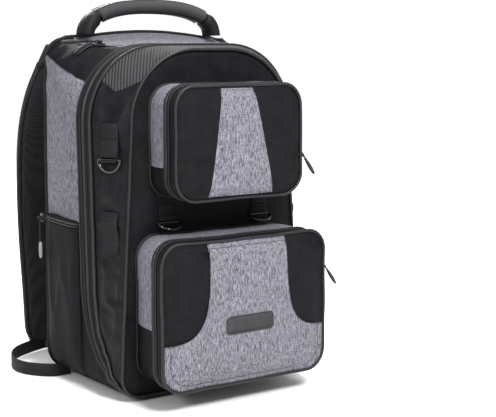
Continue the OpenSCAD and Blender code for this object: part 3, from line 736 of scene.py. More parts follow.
def build_case():
    rear = body_rows(lambda u, t: lerp(zip_y_at(u, BAND_W / 2), BACK_Y, t), 26)
    case = cloth("case_cloth", rear, black_cloth, "bag", 2 * MM)
    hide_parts("main_shell")

    def arch_face(y, bulge, name, material, body, folds):
        """The flat cloth that closes the body form at y, from its edge inwards."""
        edge = [on_body(y, u, -0.4 * MM) for u in AROUND[:-1]]
        centre = Vector((0, y, MIDDLE_Z))
        rows = []
        for t in steps(30):
            s = 1 - t * 0.97
            row = []
            for p in edge:
                q = centre + (p - centre) * s
                q.y = y + bulge * (1 - s * s) + folds(q) * smooth((1 - s) / 0.12)
                row.append(q)
            rows.append(row)
        return cloth(name, rows, material, body, 2 * MM, True, centre - Vector((0, bulge, 0)),
                     capped=True)

    def back_folds(q):
        channel = 1 - smooth(abs(q.x) / 0.03)
        low = smooth((0.25 - q.z) / 0.03)
        creases = crease(q, 14, 1, 20, 33) * 3.0 + crease(q, 24, 1, 12, 37) * 2.0
        return (fuzz(q, 22, 1, 12, 4) * 1.6 - channel * 2.0 + creases * (0.3 + 0.7 * low)) * MM

    arch_face(BACK_Y - 1 * MM, 1 * MM, "back_cloth", nylon, "bag", back_folds)

    def front_folds(q):
        low = smooth((0.27 - q.z) / 0.03) * smooth((q.z - 0.22) / 0.02)
        edge = smooth((abs(q.x) - 0.095) / 0.02) * smooth((0.42 - q.z) / 0.05)
        return -(fuzz(q, 26, 1, 15, 8) * (0.7 + 2.4 * edge + 1.6 * low)
                 + fuzz(q, 50, 1, 60, 6) * 1.3 * edge) * MM

    front = arch_face(FRONT_Y + 0.8 * MM, -1.5 * MM, "front_panel_cloth", black_cloth,
                      "front_section", front_folds)
    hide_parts("front_shell")

    edge = [on_body(FRONT_Y, u, 0.5 * MM) for u in AROUND[:-1]]
    for p in edge:
        p.y = FRONT_Y - 0.6 * MM
    pipe = tube("front_panel_piping", edge, 2.3 * MM, piping, "front_section", True)
    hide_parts("front_piping")
    inner = []
    for p in edge:
        centre = Vector((0, p.y, MIDDLE_Z))
        inner.append(centre + (p - centre) * 0.965 + REARWARD * 0.4 * MM)
    stitches("front_panel_stitching", [(inner, [-REARWARD] * len(inner))], "front_section")

    gusset = body_rows(lambda u, t: lerp(FRONT_Y, zip_y_at(u, -BAND_W / 2), t), 22)
    cloth("gusset_cloth", gusset, nylon, "front_section", 1.8 * MM)


def build_rib_panel():
    """Ribbed cloth over the top of the gusset, down to a point on each side."""
    tip_z = 0.412
    rows = body_rows(lambda u, t: lerp(FRONT_Y + 1 * MM, zip_y_at(u, -BAND_W / 2), t), 16,
                     0.9 * MM, RIB_PLACES)
    middle = (FRONT_Y + BAND_FRONT_Y) / 2
    obj = cloth("gusset_rib_cloth", rows, rib_cloth, "front_section", 0.9 * MM,
                keep=[lambda p: p.z - tip_z - 0.6 * abs(p.y - middle)])
    # The cloth is cut on the slant, so its ribs stand upright on both sides
    lines = obj.data.attributes["thread"].data
    for v, line in zip(obj.data.vertices, lines):
        line.vector = (0, 0.84 * abs(v.co.x) + 0.55 * v.co.y, 0)


def seam_path(y_at, places, out):
    """Points and normals of a seam over the body along y_at(u)."""
    return ([on_body(y_at(u), u, out) for u in places],
            [body_normal(y_at(u), u) for u in places])


def zip_seam(shift, out):
    """A seam along the main zip, moved sideways by shift."""
    return seam_path(lambda u: zip_y_at(u, shift), ZIP_PLACES, out)


def build_main_zip():
    """The wide band over the arch: two tapes, the coil between and its edges."""
    gap = 0.3 * MM

    def lift(u, t):
        return (1.4 + 0.9 * math.sin(math.pi * t) ** 0.5) * MM

    for word, side, body in (("rear", 1, "bag"), ("front", -1, "front_section")):
        name = "main_zip_tape_" + word

        def across(u, t):
            return zip_y_at(u, side * lerp(gap, BAND_W / 2, t))
        obj = cloth(name, body_rows(across, 8, lift, ZIP_PLACES), zip_tape, body, 1.2 * MM)
        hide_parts("main_zip_" + word)
        stitches(name + "_stitching",
                 [zip_seam(side * lerp(gap, BAND_W / 2, share), 2.4 * MM) for share in (0.3, 0.9)],
                 body)
        path, normals = zip_seam(side * 1.5 * MM, 2.4 * MM)
        tube(name + "_coil", path, 1.3 * MM, zip_coil, body, normals=normals)
        path, normals = zip_seam(side * BAND_W * 0.2, 2.2 * MM)
        strip(name + "_rib", path, normals, 2.4 * MM, 0.9 * MM, zip_tape, body)
        edge, _ = zip_seam(side * BAND_W / 2, 1.6 * MM)
        tube(name + "_piping", edge, 1.9 * MM, piping, body)


def build_rear_trim():
    edge = [on_body(BACK_Y, u, 0.5 * MM) for u in AROUND[:-1]]
    for p in edge:
        p.y = BACK_Y - 1 * MM
    tube("back_seam_binding", edge, 3.4 * MM, webbing, "bag", True, squash=0.9)

    lo, hi = BAND_BACK_Y + 1.5 * MM, BACK_Y - 1.5 * MM

    def slant_z(y):
        """Height of the slanted seam that ends the grey side cloth."""
        return lerp(ZIP_H - 48 * MM, BODY_H - 30 * MM, (y - lo) / (hi - lo))

    for side, label in SIDES:
        name = "side_panel_" + label
        half = [u for u in AROUND if 0.2 < abs(u) < 0.62 and u * side > 0]
        rows = body_rows(lambda u, t: lerp(lo, hi, t), 24, 1.0 * MM, half)
        obj = cloth(name + "_cloth", rows, melange, "bag", 1.0 * MM,
                    keep=[lambda p: slant_z(p.y) - p.z, lambda p: p.z - SIDE_ZIP_Z - 7 * MM])
        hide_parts(name)
        seam = []
        for t in steps(24):
            y = lerp(lo, hi, t)
            u = min(half, key=lambda v: abs(body_point(y, v).z - slant_z(y)))
            q = on_body(y, u, 1.4 * MM)
            q.z = slant_z(y)
            seam.append(q)
        tube(name + "_seam", seam, 0.8 * MM, piping, "bag", sides=6)

    def top_cut(p):
        """The grey cloth in front of the top zip is shorter, and set to the left."""
        if p.y < TOP_ZIP_Y:
            return 66 * MM - abs(p.x + 24 * MM)
        return 1.0

    rows = body_rows(lambda u, t: lerp(BAND_BACK_Y + 12 * MM, BACK_Y - 2 * MM, t), 34, 1.0 * MM,
                     TOP_PLACES)
    obj = cloth("top_panel_cloth", rows, melange, "bag", 1.0 * MM, keep=[
        lambda p: 104 * MM + 10 * MM * smooth((p.y - TOP_ZIP_Y) / 0.04) - abs(p.x),
        lambda p: abs(p.y - TOP_ZIP_Y) - 5 * MM, top_cut])
    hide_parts("top_panel")

    def top_seam(shift, out):
        return seam_path(lambda u: TOP_ZIP_Y + shift, TOP_ZIP_PLACES, out)

    path, normals = top_seam(0, 1.2 * MM)
    obj = strip("top_zip_tape_strip", path, normals, 15 * MM, 0.9 * MM, zip_tape, "bag")
    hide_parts("top_zip_tape")
    path, normals = top_seam(0, 2.4 * MM)
    tube("top_zip_coil", path, 1.5 * MM, zip_coil, "bag", normals=normals)
    for word, shift in (("front", -7 * MM), ("rear", 7 * MM)):
        path, _ = top_seam(shift, 2.0 * MM)
        tube("top_zip_fold_" + word, path, 0.9 * MM, piping, "bag", sides=6)


def build_side_pockets():
    y0, y1 = BAND_BACK_Y + 5 * MM, BACK_Y - 4 * MM
    foot = FLOOR_Z + 10 * MM
    stand = 8.6 * MM

    def bulge(y, z):
        """How far the pocket stands off the case; it is flat at its sewn edges."""
        t = (y - y0) / (y1 - y0)
        edge = (1 - abs(2 * t - 1) ** 5) ** 0.6 if abs(2 * t - 1) < 1 else 0
        up = smooth((z - foot) / 0.045)
        return max(0.6 * MM, stand * edge * (0.25 + 0.75 * up))

    def pocket_point(side, y, z):
        """Point and normal of the pocket's cloth on one side, at y and height z."""
        low, high = 0.1, 0.9
        for _ in range(22):
            mid = (low + high) / 2
            if body_point(y, side * mid).z > z:
                low = mid
            else:
                high = mid
        u = side * (low + high) / 2
        p = body_point(y, u)
        n = body_normal(y, u)
        drape = (fuzz(p, 6, 34, 6, 21) * 2.6 + crease(p, 4, 26, 7, 23) * 2.0
                 + fuzz(p, 10, 70, 18, 13) * 0.7) * MM
        room = smooth((SIDE_ZIP_Z - z) / 0.05) * smooth((z - foot) / 0.03)
        return p + n * (bulge(y, z) + drape * room * 0.8), n

    for side, label in SIDES:
        rows = []
        for z in [lerp(foot, SIDE_ZIP_Z, t) for t in steps(44)]:
            rows.append([pocket_point(side, lerp(y0, y1, t), z)[0] for t in steps(28)])
        obj = cloth("side_pocket_cloth_" + label, rows, black_cloth, "bag", 1.4 * MM)
        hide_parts("side_pocket_" + label)
        top = [pocket_point(side, lerp(y0, y1, t), SIDE_ZIP_Z) for t in steps(28)]
        ledge = [[q for q, _ in top]]
        for drop in (0.35, 0.75):
            ledge.append([q + UP * 7 * MM * drop - n * bulge(q.y, SIDE_ZIP_Z) * drop ** 2
                          for q, n in top])
        ledge.append([pocket_point(side, q.y, SIDE_ZIP_Z + 9 * MM)[0]
                      - n * (bulge(q.y, SIDE_ZIP_Z) - 1.2 * MM) for q, n in top])
        tape = cloth("side_zip_tape_" + label, ledge, zip_tape, "bag", 1.0 * MM)
        if side < 0:
            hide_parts("side_zip_tapes")
        coil = [q + UP * 3.2 * MM - n * 0.6 * MM for q, n in top]
        tube("side_zip_coil_" + label, coil, 1.4 * MM, zip_coil, "bag",
             normals=[n for _, n in top])
        hem = [q + n * 0.2 * MM for q, n in top]
        tube("side_zip_hem_" + label, hem, 1.2 * MM, piping, "bag", sides=6)


build_case()
build_rib_panel()
build_main_zip()
build_rear_trim()
build_side_pockets()


# ---- Front pockets ---------------------------------------------------------

POCKET_R = 29 * MM
LID_D = 24 * MM
CORNER_STEPS = 10


def rounded(w, h, r, z0, y, side_steps=14):
    """Closed outline of a pocket, anticlockwise from the bottom right corner."""
    corners = [(w / 2 - r, z0 + r, -90), (w / 2 - r, z0 + h - r, 0),
               (r - w / 2, z0 + h - r, 90), (r - w / 2, z0 + r, 180)]
    pts = []
    for k, (cx, cz, a0) in enumerate(corners):
        for i in range(CORNER_STEPS + 1):
            a = math.radians(a0 + 90 * i / CORNER_STEPS)
            pts.append(Vector((cx + r * math.cos(a), y, cz + r * math.sin(a))))
        nx, nz, na = corners[(k + 1) % 4]
        a = math.radians(na)
        nxt = Vector((nx + r * math.cos(a), y, nz + r * math.sin(a)))
        last = pts[-1]
        pts += [last.lerp(nxt, i / side_steps) for i in range(1, side_steps)]
    return pts


def outward(p, centre):
    d = Vector((p.x - centre.x, 0, p.z - centre.z))
    return d.normalized()


class Pocket:
    """One zipped front pocket: base, zip, lid, piping and face."""

    def __init__(self, label, lo, hi, taper, crown, sag, grey_from):
        self.label = label
        self.w = hi.x - lo.x
        self.h = hi.z - lo.z
        self.z0 = lo.z
        self.face_y = lo.y
        self.zip_y = lo.y + LID_D
        self.taper = taper
        self.crown = crown
        self.sag = sag
        self.grey_from = grey_from
        self.lid = label + "_lid"
        self.centre = Vector((0, self.face_y, self.z0 + self.h / 2))
        self.depth = FRONT_Y - self.face_y

    def width(self, y):
        """The pocket narrows towards the bag."""
        t = (y - self.face_y) / self.depth
        return self.w - 2 * self.taper * t

    def ring(self, y, out=0.0):
        """Outline of the pocket at y: its long sides bow out and its top sags."""
        pts = rounded(self.width(y) + 2 * out, self.h + 2 * out, POCKET_R + out, self.z0 - out, y)
        for p in pts:
            n = outward(p, self.centre)
            top = smooth((p.z - self.z0 - self.h + 0.02) / 0.02)
            middle = math.cos(math.pi * p.x / self.w) if abs(p.x) < self.w / 2 else 0
            p.z -= self.sag * top * middle * 0.6
            p += n * fuzz(p, 24, 30, 24, 31) * 1.3 * MM
        return pts

    def face_drop(self, p):
        """How far the face stands out at p, fuller in the middle."""
        a = min(1.0, abs(p.x) / (self.w / 2))
        b = min(1.0, abs(p.z - self.centre.z) / (self.h / 2))
        full = (1 - a ** 3.2) * (1 - b ** 3.2)
        return self.crown * full ** 0.6 + fuzz(p, 18, 1, 18, 17) * 0.7 * MM * full

    def wall(self, name, y0, y1, count, material, body, out=0.0, keep=(), thick=1.6 * MM):
        rows = []
        for t in steps(count):
            y = lerp(y0, y1, t)
            puff = 1.4 * MM * math.sin(math.pi * t)
            rows.append(self.ring(y, out + puff))
        return cloth(name, rows, material, body, thick, True,
                     Vector((0, (y0 + y1) / 2, self.centre.z)), keep)

    def face_rows(self, lift=0.0):
        edge = self.ring(self.face_y, -1.2 * MM)
        rows = []
        for t in steps(26):
            s = 1 - 0.97 * t
            row = []
            for p in edge:
                q = self.centre + (p - self.centre) * s
                q.y = self.face_y - self.face_drop(q) * smooth((1 - s) / 0.22 + 0.1) - lift
                row.append(q)
            rows.append(row)
        return rows

    def face(self, name, material, lift=0.0, keep=(), thick=1.4 * MM):
        return cloth(name, self.face_rows(lift), material, self.lid, thick, True,
                     self.centre + Vector((0, 0.05, 0)), keep, capped=True)

    def build(self):
        label = self.label
        grey_foot = self.z0 + self.h * self.grey_from
        tape_half = 6 * MM
        base_front = self.zip_y + tape_half
        fixed = "front_section"
        base = self.wall(label + "_base_cloth", FRONT_Y - 0.5 * MM, base_front, 8, melange,
                         fixed, keep=[lambda p: p.z - grey_foot])
        self.wall(label + "_base_foot", FRONT_Y - 0.5 * MM, base_front, 8, black_cloth, fixed,
                  keep=[lambda p: grey_foot - p.z])
        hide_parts(label + "_pocket_base")
        self.wall(label + "_zip_tape_rear", self.zip_y + 0.4 * MM, base_front + 1 * MM, 3,
                  zip_tape, fixed, 0.9 * MM, thick=1.0 * MM)
        lid_wall = self.wall(label + "_lid_wall", self.zip_y - tape_half, self.face_y, 5,
                             black_cloth, self.lid)
        self.wall(label + "_zip_tape_front", self.zip_y - tape_half - 1 * MM,
                  self.zip_y - 0.4 * MM, 3, zip_tape, self.lid, 0.9 * MM, thick=1.0 * MM)
        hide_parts(label + "_pocket_lid")
        for word, dy, body in (("rear", 1.0 * MM, fixed), ("front", -1.0 * MM, self.lid)):
            path = self.ring(self.zip_y + dy, 2.0 * MM)
            tube(label + "_zip_coil_" + word, path, 1.1 * MM, zip_coil, body, True)
        for word, dy, body in (("rear", tape_half, fixed), ("front", -tape_half, self.lid)):
            path = self.ring(self.zip_y + dy, 1.0 * MM)
            tube(label + "_zip_seam_" + word, path, 1.0 * MM, piping, body, True, sides=6)
        path = self.ring(self.face_y, 0.2 * MM)
        pipe = tube(label + "_face_piping", path, PIPE_R, piping, self.lid, True)
        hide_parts(label + "_piping")
        seam = self.ring(FRONT_Y - 0.6 * MM, 1.2 * MM)
        tube(label + "_base_seam", seam, 1.5 * MM, piping, fixed, True, sides=6)
        inner = self.face_rows(0.2 * MM)[2]
        stitches(label + "_face_stitching", [(inner, [-REARWARD] * len(inner))], self.lid)


def build_upper_pocket():
    pocket = Pocket("upper", upper_lo, upper_hi, 0, 7 * MM, 2 * MM, 0.28)
    pocket.build()
    pocket.face("upper_face_cloth", black_cloth)
    low, high = upper_lo.z, upper_hi.z

    def stripe(side, at_low, at_high):
        return lambda p: side * (lerp(at_low, at_high, (p.z - low) / (high - low)) - p.x)
    obj = pocket.face("upper_stripe_cloth", melange, 0.5 * MM, thick=0.6 * MM, keep=[
        stripe(1, 50 * MM, 17 * MM), stripe(-1, -50 * MM, -30 * MM),
        lambda p: p.z - low - 4 * MM, lambda p: high - 4 * MM - p.z])
    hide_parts("upper_stripe")


def build_lower_pocket():
    pocket = Pocket("lower", lower_lo, lower_hi, 8 * MM, 9 * MM, 3 * MM, 0.4)
    pocket.build()
    pocket.face("lower_face_cloth", melange)
    top = lower_hi.z - 5 * MM
    edge_x = lower_hi.x - 5 * MM
    curve = spline([(60 * MM, 0, top + 6 * MM), (61 * MM, 0, top - 52 * MM),
                    (69 * MM, 0, top - 96 * MM), (90 * MM, 0, top - 119 * MM),
                    (edge_x + 8 * MM, 0, top - 126 * MM)], 8)

    def patch(side):
        def inside(p):
            """Distance to the patch's curved edge, positive inside the corner."""
            x, z = side * p.x, p.z
            best = min(range(len(curve) - 1),
                       key=lambda i: (curve[i].x - x) ** 2 + (curve[i].z - z) ** 2)
            a, b = curve[best], curve[best + 1]
            d = (b - a).normalized()
            return (x - a.x) * -d.z + (z - a.z) * d.x
        return inside
    for side, label in SIDES:
        pocket.face("lower_patch_" + label, black_cloth, 0.5 * MM, thick=0.6 * MM,
                                 keep=[patch(side)])
        run = []
        for p in curve[1:-1]:
            q = Vector((side * p.x, 0, p.z))
            q.y = lower_lo.y - pocket.face_drop(q) - 0.7 * MM
            if abs(q.x) < lower_hi.x - 4 * MM and q.z < top:
                run.append(q)
        tube("lower_patch_seam_" + label, run, 0.5 * MM, thread, "lower_lid", sides=5)
    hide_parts("lower_patches")

    # Blank moulded badge with bevelled edges
    lo, hi = box_of("blank_badge")
    rows = []
    w, h = hi.x - lo.x, hi.z - lo.z
    mid = Vector((0, 0, (lo.z + hi.z) / 2))
    y_face = lower_lo.y - pocket.face_drop(Vector((0, 0, mid.z))) + 0.4 * MM
    for y, inset in ((y_face, 0), (y_face - 1.2 * MM, 0), (y_face - 1.8 * MM, 0.8 * MM),
                     (y_face - 1.8 * MM, 2.2 * MM), (y_face - 1.4 * MM, 2.8 * MM)):
        rows.append(rounded(w - 2 * inset, h - 2 * inset, 6.5 * MM - inset, lo.z + inset, y, 8))
    for s in (0.6, 0.3, 0.03):
        rows.append([Vector((p.x * s, y_face - 1.4 * MM, mid.z + (p.z - mid.z) * s))
                     for p in rows[4]])
    bm = blank_mesh()
    made = add_grid(bm, rows, True)
    bm.faces.new(made[-1])
    obj = piece("blank_badge_plate", bm, badge_rubber, "lower_lid")
    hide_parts("blank_badge")


build_upper_pocket()
build_lower_pocket()


# ---- Webbing tabs ----------------------------------------------------------

LOOP_R = 4.3 * MM
TAB_W = 25 * MM
TAB_STITCH = {"pitch": 2.6 * MM, "length": 1.9 * MM}


def crossed_box(points, out):
    """Stitch lines of a sewn box with a cross in it."""
    lines = [(points[i], points[(i + 1) % 4]) for i in range(4)]
    lines += [(points[0], points[2]), (points[1], points[3])]
    return [([a, b], [out, out]) for a, b in lines]


def tab(name, foot, up, out, height, body):
    """Sewn tab whose lower end loops round a ring's bar; foot is on the surface."""
    width, loop_r, thick = TAB_W, LOOP_R, 2.4 * MM
    side = up.cross(out).normalized()
    bm = blank_mesh()
    path = [foot + up * lerp(height, 3 * MM, t) + out * 0.2 * MM for t in steps(6)]
    sweep(bm, path, flat(width, thick), [out] * len(path))
    ring_path, ring_normals = [], []
    for i in range(17):
        a = math.radians(-80 + 250 * i / 16)
        d = out * -math.cos(a) + up * -math.sin(a)
        ring_path.append(foot + out * (loop_r + 0.2 * MM) + d * (loop_r - thick * 0.7))
        ring_normals.append(d)
    sweep(bm, ring_path, flat(width, thick * 0.7), ring_normals)
    back = [foot + up * lerp(loop_r * 0.9, height * 0.55, t)
            + out * (thick + lerp(loop_r * 0.9, 0.2 * MM, smooth(t * 1.6))) for t in steps(6)]
    sweep(bm, back, flat(width, thick * 0.7), [out] * len(back))
    obj = piece(name, bm, webbing, body)
    rim = width / 2 - 2.5 * MM
    a0, a1 = foot + up * (height * 0.58), foot + up * (height - 3 * MM)
    lift = out * (thick + 0.3 * MM)
    sewn = [a0 - side * rim + lift, a0 + side * rim + lift, a1 + side * rim + lift,
            a1 - side * rim + lift]
    stitches(name + "_stitching", crossed_box(sewn, out), body, **TAB_STITCH)
    return obj


def build_tabs():
    for side, label in SIDES:
        place, axis = joint_place("gusset_ring_" + label + "_swing")
        out = UP.cross(axis).normalized()
        if out.x * side < 0:
            out = -out
        foot = place - out * LOOP_R
        gusset_tab = tab("gusset_tab_" + label, foot, UP, out, 47 * MM, "front_section")
        # Compression loop: two sewn ends and a raised middle that leaves a slot
        low = foot.copy()
        low.z = 199 * MM
        shift = out * 0.6 * MM + Vector((side, 0, 0)) * 1.6 * MM
        path = [low + shift + UP * z * MM + out * lift * MM for z, lift in
                ((0, 0), (12, 0.2), (28, 0.4), (32, 1.2), (38, 3.4), (44, 3.6), (50, 1.4),
                 (54, 0.4), (57, 0.2))]
        bm = blank_mesh()
        sweep(bm, path, flat(TAB_W, 2.4 * MM), [out] * len(path))
        under = [low + shift * 0.4 + UP * z * MM for z in (2, 20, 40, 55)]
        sweep(bm, under, flat(TAB_W - 1 * MM, 1.2 * MM), [out] * 4)
        obj = piece("compression_loop_" + label, bm, webbing, "front_section")
        if side < 0:
            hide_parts("gusset_tabs")
            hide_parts("compression_loops")
        lift = out * 3.6 * MM
        along = UP.cross(out).normalized() * (TAB_W / 2 - 3 * MM)
        sewn = [low + lift + UP * z * MM + along * s for z, s in
                ((3, -1), (3, 1), (25, 1), (25, -1))]
        stitches("compression_loop_stitching_" + label, crossed_box(sewn, out), "front_section",
                 **TAB_STITCH)
        place, _ = joint_place("bridge_ring_" + label + "_swing")
        obj = tab("bridge_tab_" + label, place + REARWARD * LOOP_R, UP, -REARWARD, 24 * MM,
                  "front_section")
        if side < 0:
            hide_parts("bridge_tabs")


build_tabs()


# ---- Padding ---------------------------------------------------------------

PAD_R = 34 * MM
PAD_SHRINK = 3 * MM
PAD_SWELL = 5 * MM


def inflate(obj, cap, voxel=5 * MM, pressure=4.0, frames=20):
    """Swells a closed pad with Blender's cloth, then caps how far each point moved."""
    bpy.context.view_layer.objects.active = obj
    for o in bpy.context.selected_objects:
        o.select_set(False)
    obj.select_set(True)
    remesh = obj.modifiers.new("voxels", "REMESH")
    remesh.mode = "VOXEL"
    remesh.voxel_size = voxel
    bpy.ops.object.modifier_apply(modifier=remesh.name)
    start = [v.co.copy() for v in obj.data.vertices]
    sim = obj.modifiers.new("swell", "CLOTH")
    sim.settings.use_pressure = True
    sim.settings.uniform_pressure_force = pressure
    sim.settings.effector_weights.gravity = 0
    sim.settings.quality = 4
    sim.point_cache.frame_start = 1
    sim.point_cache.frame_end = frames
    for f in range(1, frames + 1):
        scene.frame_set(f)
    graph = bpy.context.evaluated_depsgraph_get()
    grown = obj.evaluated_get(graph).data
    moved = [v.co.copy() for v in grown.vertices]
    obj.modifiers.remove(sim)
    scene.frame_set(1)
    for v, a, b in zip(obj.data.vertices, start, moved):
        d = b - a
        if d.length > cap:
            d *= cap / d.length
        v.co = a + d
    sub = obj.modifiers.new("smooth", "SUBSURF")
    sub.levels = sub.render_levels = 1
    bpy.ops.object.modifier_apply(modifier=sub.name)
    obj.data.shade_smooth()


def pad_rows(w, h, r, x0, z0, y0, depth, shrink):
    """A closed pad: flat behind, rounded over in front."""
    rows = []
    for y, inset in ((y0, 3 * MM), (y0, 0), (y0 + depth * 0.55, 0), (y0 + depth * 0.9, 3 * MM),
                     (y0 + depth, 9 * MM)):
        k = inset + shrink
        ring = rounded(w - 2 * k, h - 2 * k, max(2 * MM, r - k), z0 + k, y)
        rows.append([p + Vector((x0, 0, 0)) for p in ring])
    for s in (0.6, 0.2, 0.02):
        c = Vector((x0, y0 + depth, z0 + h / 2))
        rows.append([c + (p - c) * s for p in rows[4]])
    c = Vector((x0, y0, z0 + h / 2))
    behind = [[c + (p - c) * s for p in rows[0]] for s in (0.02, 0.5)]
    return behind + rows


def build_back_pads():
    depth = pad_hi.y - pad_lo.y
    inner = 36 * MM
    width = pad_hi.x - inner
    height = pad_hi.z - pad_lo.z
    for side, label in SIDES:
        middle = side * (inner + width / 2)
        bm = blank_mesh()
        add_grid(bm, pad_rows(width, height, PAD_R, middle, pad_lo.z, pad_lo.y, depth * 0.75,
                              PAD_SHRINK), True)
        obj = piece("back_pad_" + label, bm, mesh_cloth, None)
        inflate(obj, PAD_SWELL)
        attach(obj, "bag")
        ring = [p + Vector((middle, 0, 0)) for p in
                rounded(width, height, PAD_R, pad_lo.z, pad_lo.y + 2 * MM)]
        tube("back_pad_piping_" + label, ring, 2 * MM, piping, "bag", True)
    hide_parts("back_pads")
    bm = blank_mesh()
    w, h = lumbar_hi.x - lumbar_lo.x, lumbar_hi.z - lumbar_lo.z
    depth = lumbar_hi.y - lumbar_lo.y
    add_grid(bm, pad_rows(w, h, PAD_R + 2 * MM, 0, lumbar_lo.z, lumbar_lo.y, depth * 0.7,
                          PAD_SHRINK), True)
    obj = piece("lumbar_pad_cloth", bm, nylon, None)
    inflate(obj, PAD_SWELL)
    for v in obj.data.vertices:
        if v.co.y > lumbar_lo.y + 4 * MM:
            channel = 1 - smooth(abs(v.co.z - lumbar_lo.z - h * 0.52) / 0.012)
            v.co.y += (fuzz(v.co, 12, 1, 26, 41) * 3.0 + crease(v.co, 10, 1, 24, 43) * 2.4
                       - 3.0 * channel) * MM
    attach(obj, "bag")
    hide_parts("lumbar_pad")


build_back_pads()


# ---- Handle ----------------------------------------------------------------

def build_handle():
    pivot, _ = joint_place("handle_swing")
    grip_t, grip_w = 17 * MM, 30 * MM
    half = (handle_hi.x - handle_lo.x) / 2 + 8 * MM
    foot = pivot.z - 1 * MM
    rise = handle_hi.z - grip_t / 2 - foot
    middle = Vector((0, pivot.y, foot))

    def bare(share):
        a = share * math.pi / 2
        return middle + Vector((math.copysign(half * abs(math.sin(a)) ** 0.84, share), 0,
                                rise * max(0.0, math.cos(a)) ** 0.84))

    def facing(share):
        d = (bare(min(1, share + 0.02)) - bare(max(-1, share - 0.02))).normalized()
        return Vector((-d.z, 0, d.x))

    def arc(share, out=0.0, depth=0.0):
        return bare(share) + facing(share) * out + Vector((0, depth, 0))

    def thin(t):
        return 0.86 + 0.14 * smooth(min(t, 1 - t) / 0.12)

    shares = [lerp(-0.86, 0.86, t) for t in steps(36)]
    oval = [(grip_w * 0.49 * x, grip_t * 0.56 * z) for x, z in circle(1, 16)]
    bm = blank_mesh()
    sweep(bm, [arc(share) for share in shares], oval, [facing(share) for share in shares],
          taper=thin)
    grip = piece("handle_grip_cloth", bm, handle_cloth, None)
    inflate(grip, 1 * MM, 4 * MM)
    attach(grip, "handle")
    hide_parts("handle_grip")
    rows = []
    for t in steps(30):
        share = lerp(-0.58, 0.58, t)
        row = []
        for k in steps(8):
            a = math.radians(lerp(-62, 62, k))
            row.append(arc(share, math.sin(a) * grip_t * 0.62, -math.cos(a) * grip_w * 0.54))
        rows.append(row)
    mirrored = [[Vector((p.x, 2 * pivot.y - p.y, p.z)) for p in row] for row in rows]
    for i, (word, sheet) in enumerate((("front", rows), ("rear", mirrored))):
        cloth("handle_mesh_" + word, sheet, handle_mesh, "handle", 0.8 * MM, centre=pivot)
        for k in (0, -1):
            tube("handle_binding_%d_%d" % (i, k + 1), [row[k] for row in sheet], 0.9 * MM, piping,
                 "handle", sides=6)
    bm = blank_mesh()
    for side in (-1, 1):
        rings = []
        for t in steps(12):
            share = side * lerp(0.62, 0.99, t)
            grow = smooth(t / 0.12)
            deep = grip_w * lerp(0.45, 0.54, grow) * (1 + 0.1 * t)
            tall = grip_t * lerp(0.5, 0.61, grow) * (1 - 0.1 * t)
            ring = []
            for k in range(12):
                a = 2 * math.pi * k / 12
                c, d = math.cos(a), math.sin(a)
                fold = 1 + 0.04 * math.sin(3 * a + 5 * t)
                ring.append(arc(share, tall * math.copysign(abs(d) ** 0.7, d) * fold,
                                deep * math.copysign(abs(c) ** 0.6, c)))
            rings.append(ring)
        add_capped(bm, rings)
    ends = piece("handle_sewn_ends", bm, handle_cloth, "handle")
    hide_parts("handle_ends")


build_handle()


# ---- Harness ---------------------------------------------------------------

STRAP_OUT = HALF_W - 14 * MM
STRAP_W = 76 * MM
STRAP_T = 18 * MM
PIVOT_STEP = 5
STRAP_PATH = spline([
    (0, BACK_Y + 6 * MM, BODY_H - 21 * MM), (0, BACK_Y + 40 * MM, BODY_H - 50 * MM),
    (0, BACK_Y + 84 * MM, BODY_H - 92 * MM), (0, BACK_Y + 116 * MM, BODY_H - 148 * MM),
    (0, BACK_Y + 129 * MM, BODY_H - 220 * MM), (0, BACK_Y + 130 * MM, BODY_H - 310 * MM),
    (0, BACK_Y + 122 * MM, BODY_H - 390 * MM), (0, BACK_Y + 116 * MM, 12 * MM)], 5)
STRAP_EDGE = [Vector((STRAP_OUT - STRAP_W + a * MM, 0, z)) for a, z in (
    (0, BODY_H), (2, BODY_H - 110 * MM), (-8, BODY_H - 200 * MM), (-20, BODY_H - 290 * MM),
    (-20, BODY_H - 380 * MM), (-8, 40 * MM), (6, 10 * MM))]
STRAP_INNER = spline(STRAP_EDGE, 5)
STRAP_FOOT = 20 * MM


def path_at(share):
    """Point and outward normal on the strap's middle line; share counts path steps."""
    i = min(len(STRAP_PATH) - 2, max(0, int(share)))
    a, b = STRAP_PATH[i], STRAP_PATH[i + 1]
    p = a.lerp(b, share - i)
    before = STRAP_PATH[max(0, i - 1)]
    after = STRAP_PATH[min(len(STRAP_PATH) - 1, i + 2)]
    d = (after - before).normalized()
    return p, Vector((0, -d.z, d.y))


NECK_TOP = BODY_H - 38 * MM
NECK_R = 44 * MM
NECK_HALF = STRAP_OUT - STRAP_W + 2 * MM


def inner_x(z):
    """x of a strap's inner edge, which rounds over into the neck opening."""
    rise = z - (NECK_TOP - NECK_R)
    if rise > 0:
        return NECK_HALF - NECK_R + math.sqrt(max(0, NECK_R ** 2 - rise ** 2))
    for a, b in zip(STRAP_INNER, STRAP_INNER[1:]):
        if b.z <= z <= a.z:
            return lerp(a.x, b.x, (a.z - z) / (a.z - b.z))
    return STRAP_INNER[0].x if z > STRAP_INNER[0].z else STRAP_INNER[-1].x


def outer_x(z):
    return STRAP_OUT + 4 * MM * min(1, max(0, (z - 40 * MM) / (BODY_H - 40 * MM))) \
        - 8 * MM * smooth((40 * MM - z) / (30 * MM))


def strap_point(side, share, across, out):
    """across runs from 0 at the strap's inner edge to 1 at its outer edge."""
    p, n = path_at(share)
    x = lerp(inner_x(p.z), outer_x(p.z), across)
    return Vector((side * x, p.y, p.z)) + n * out


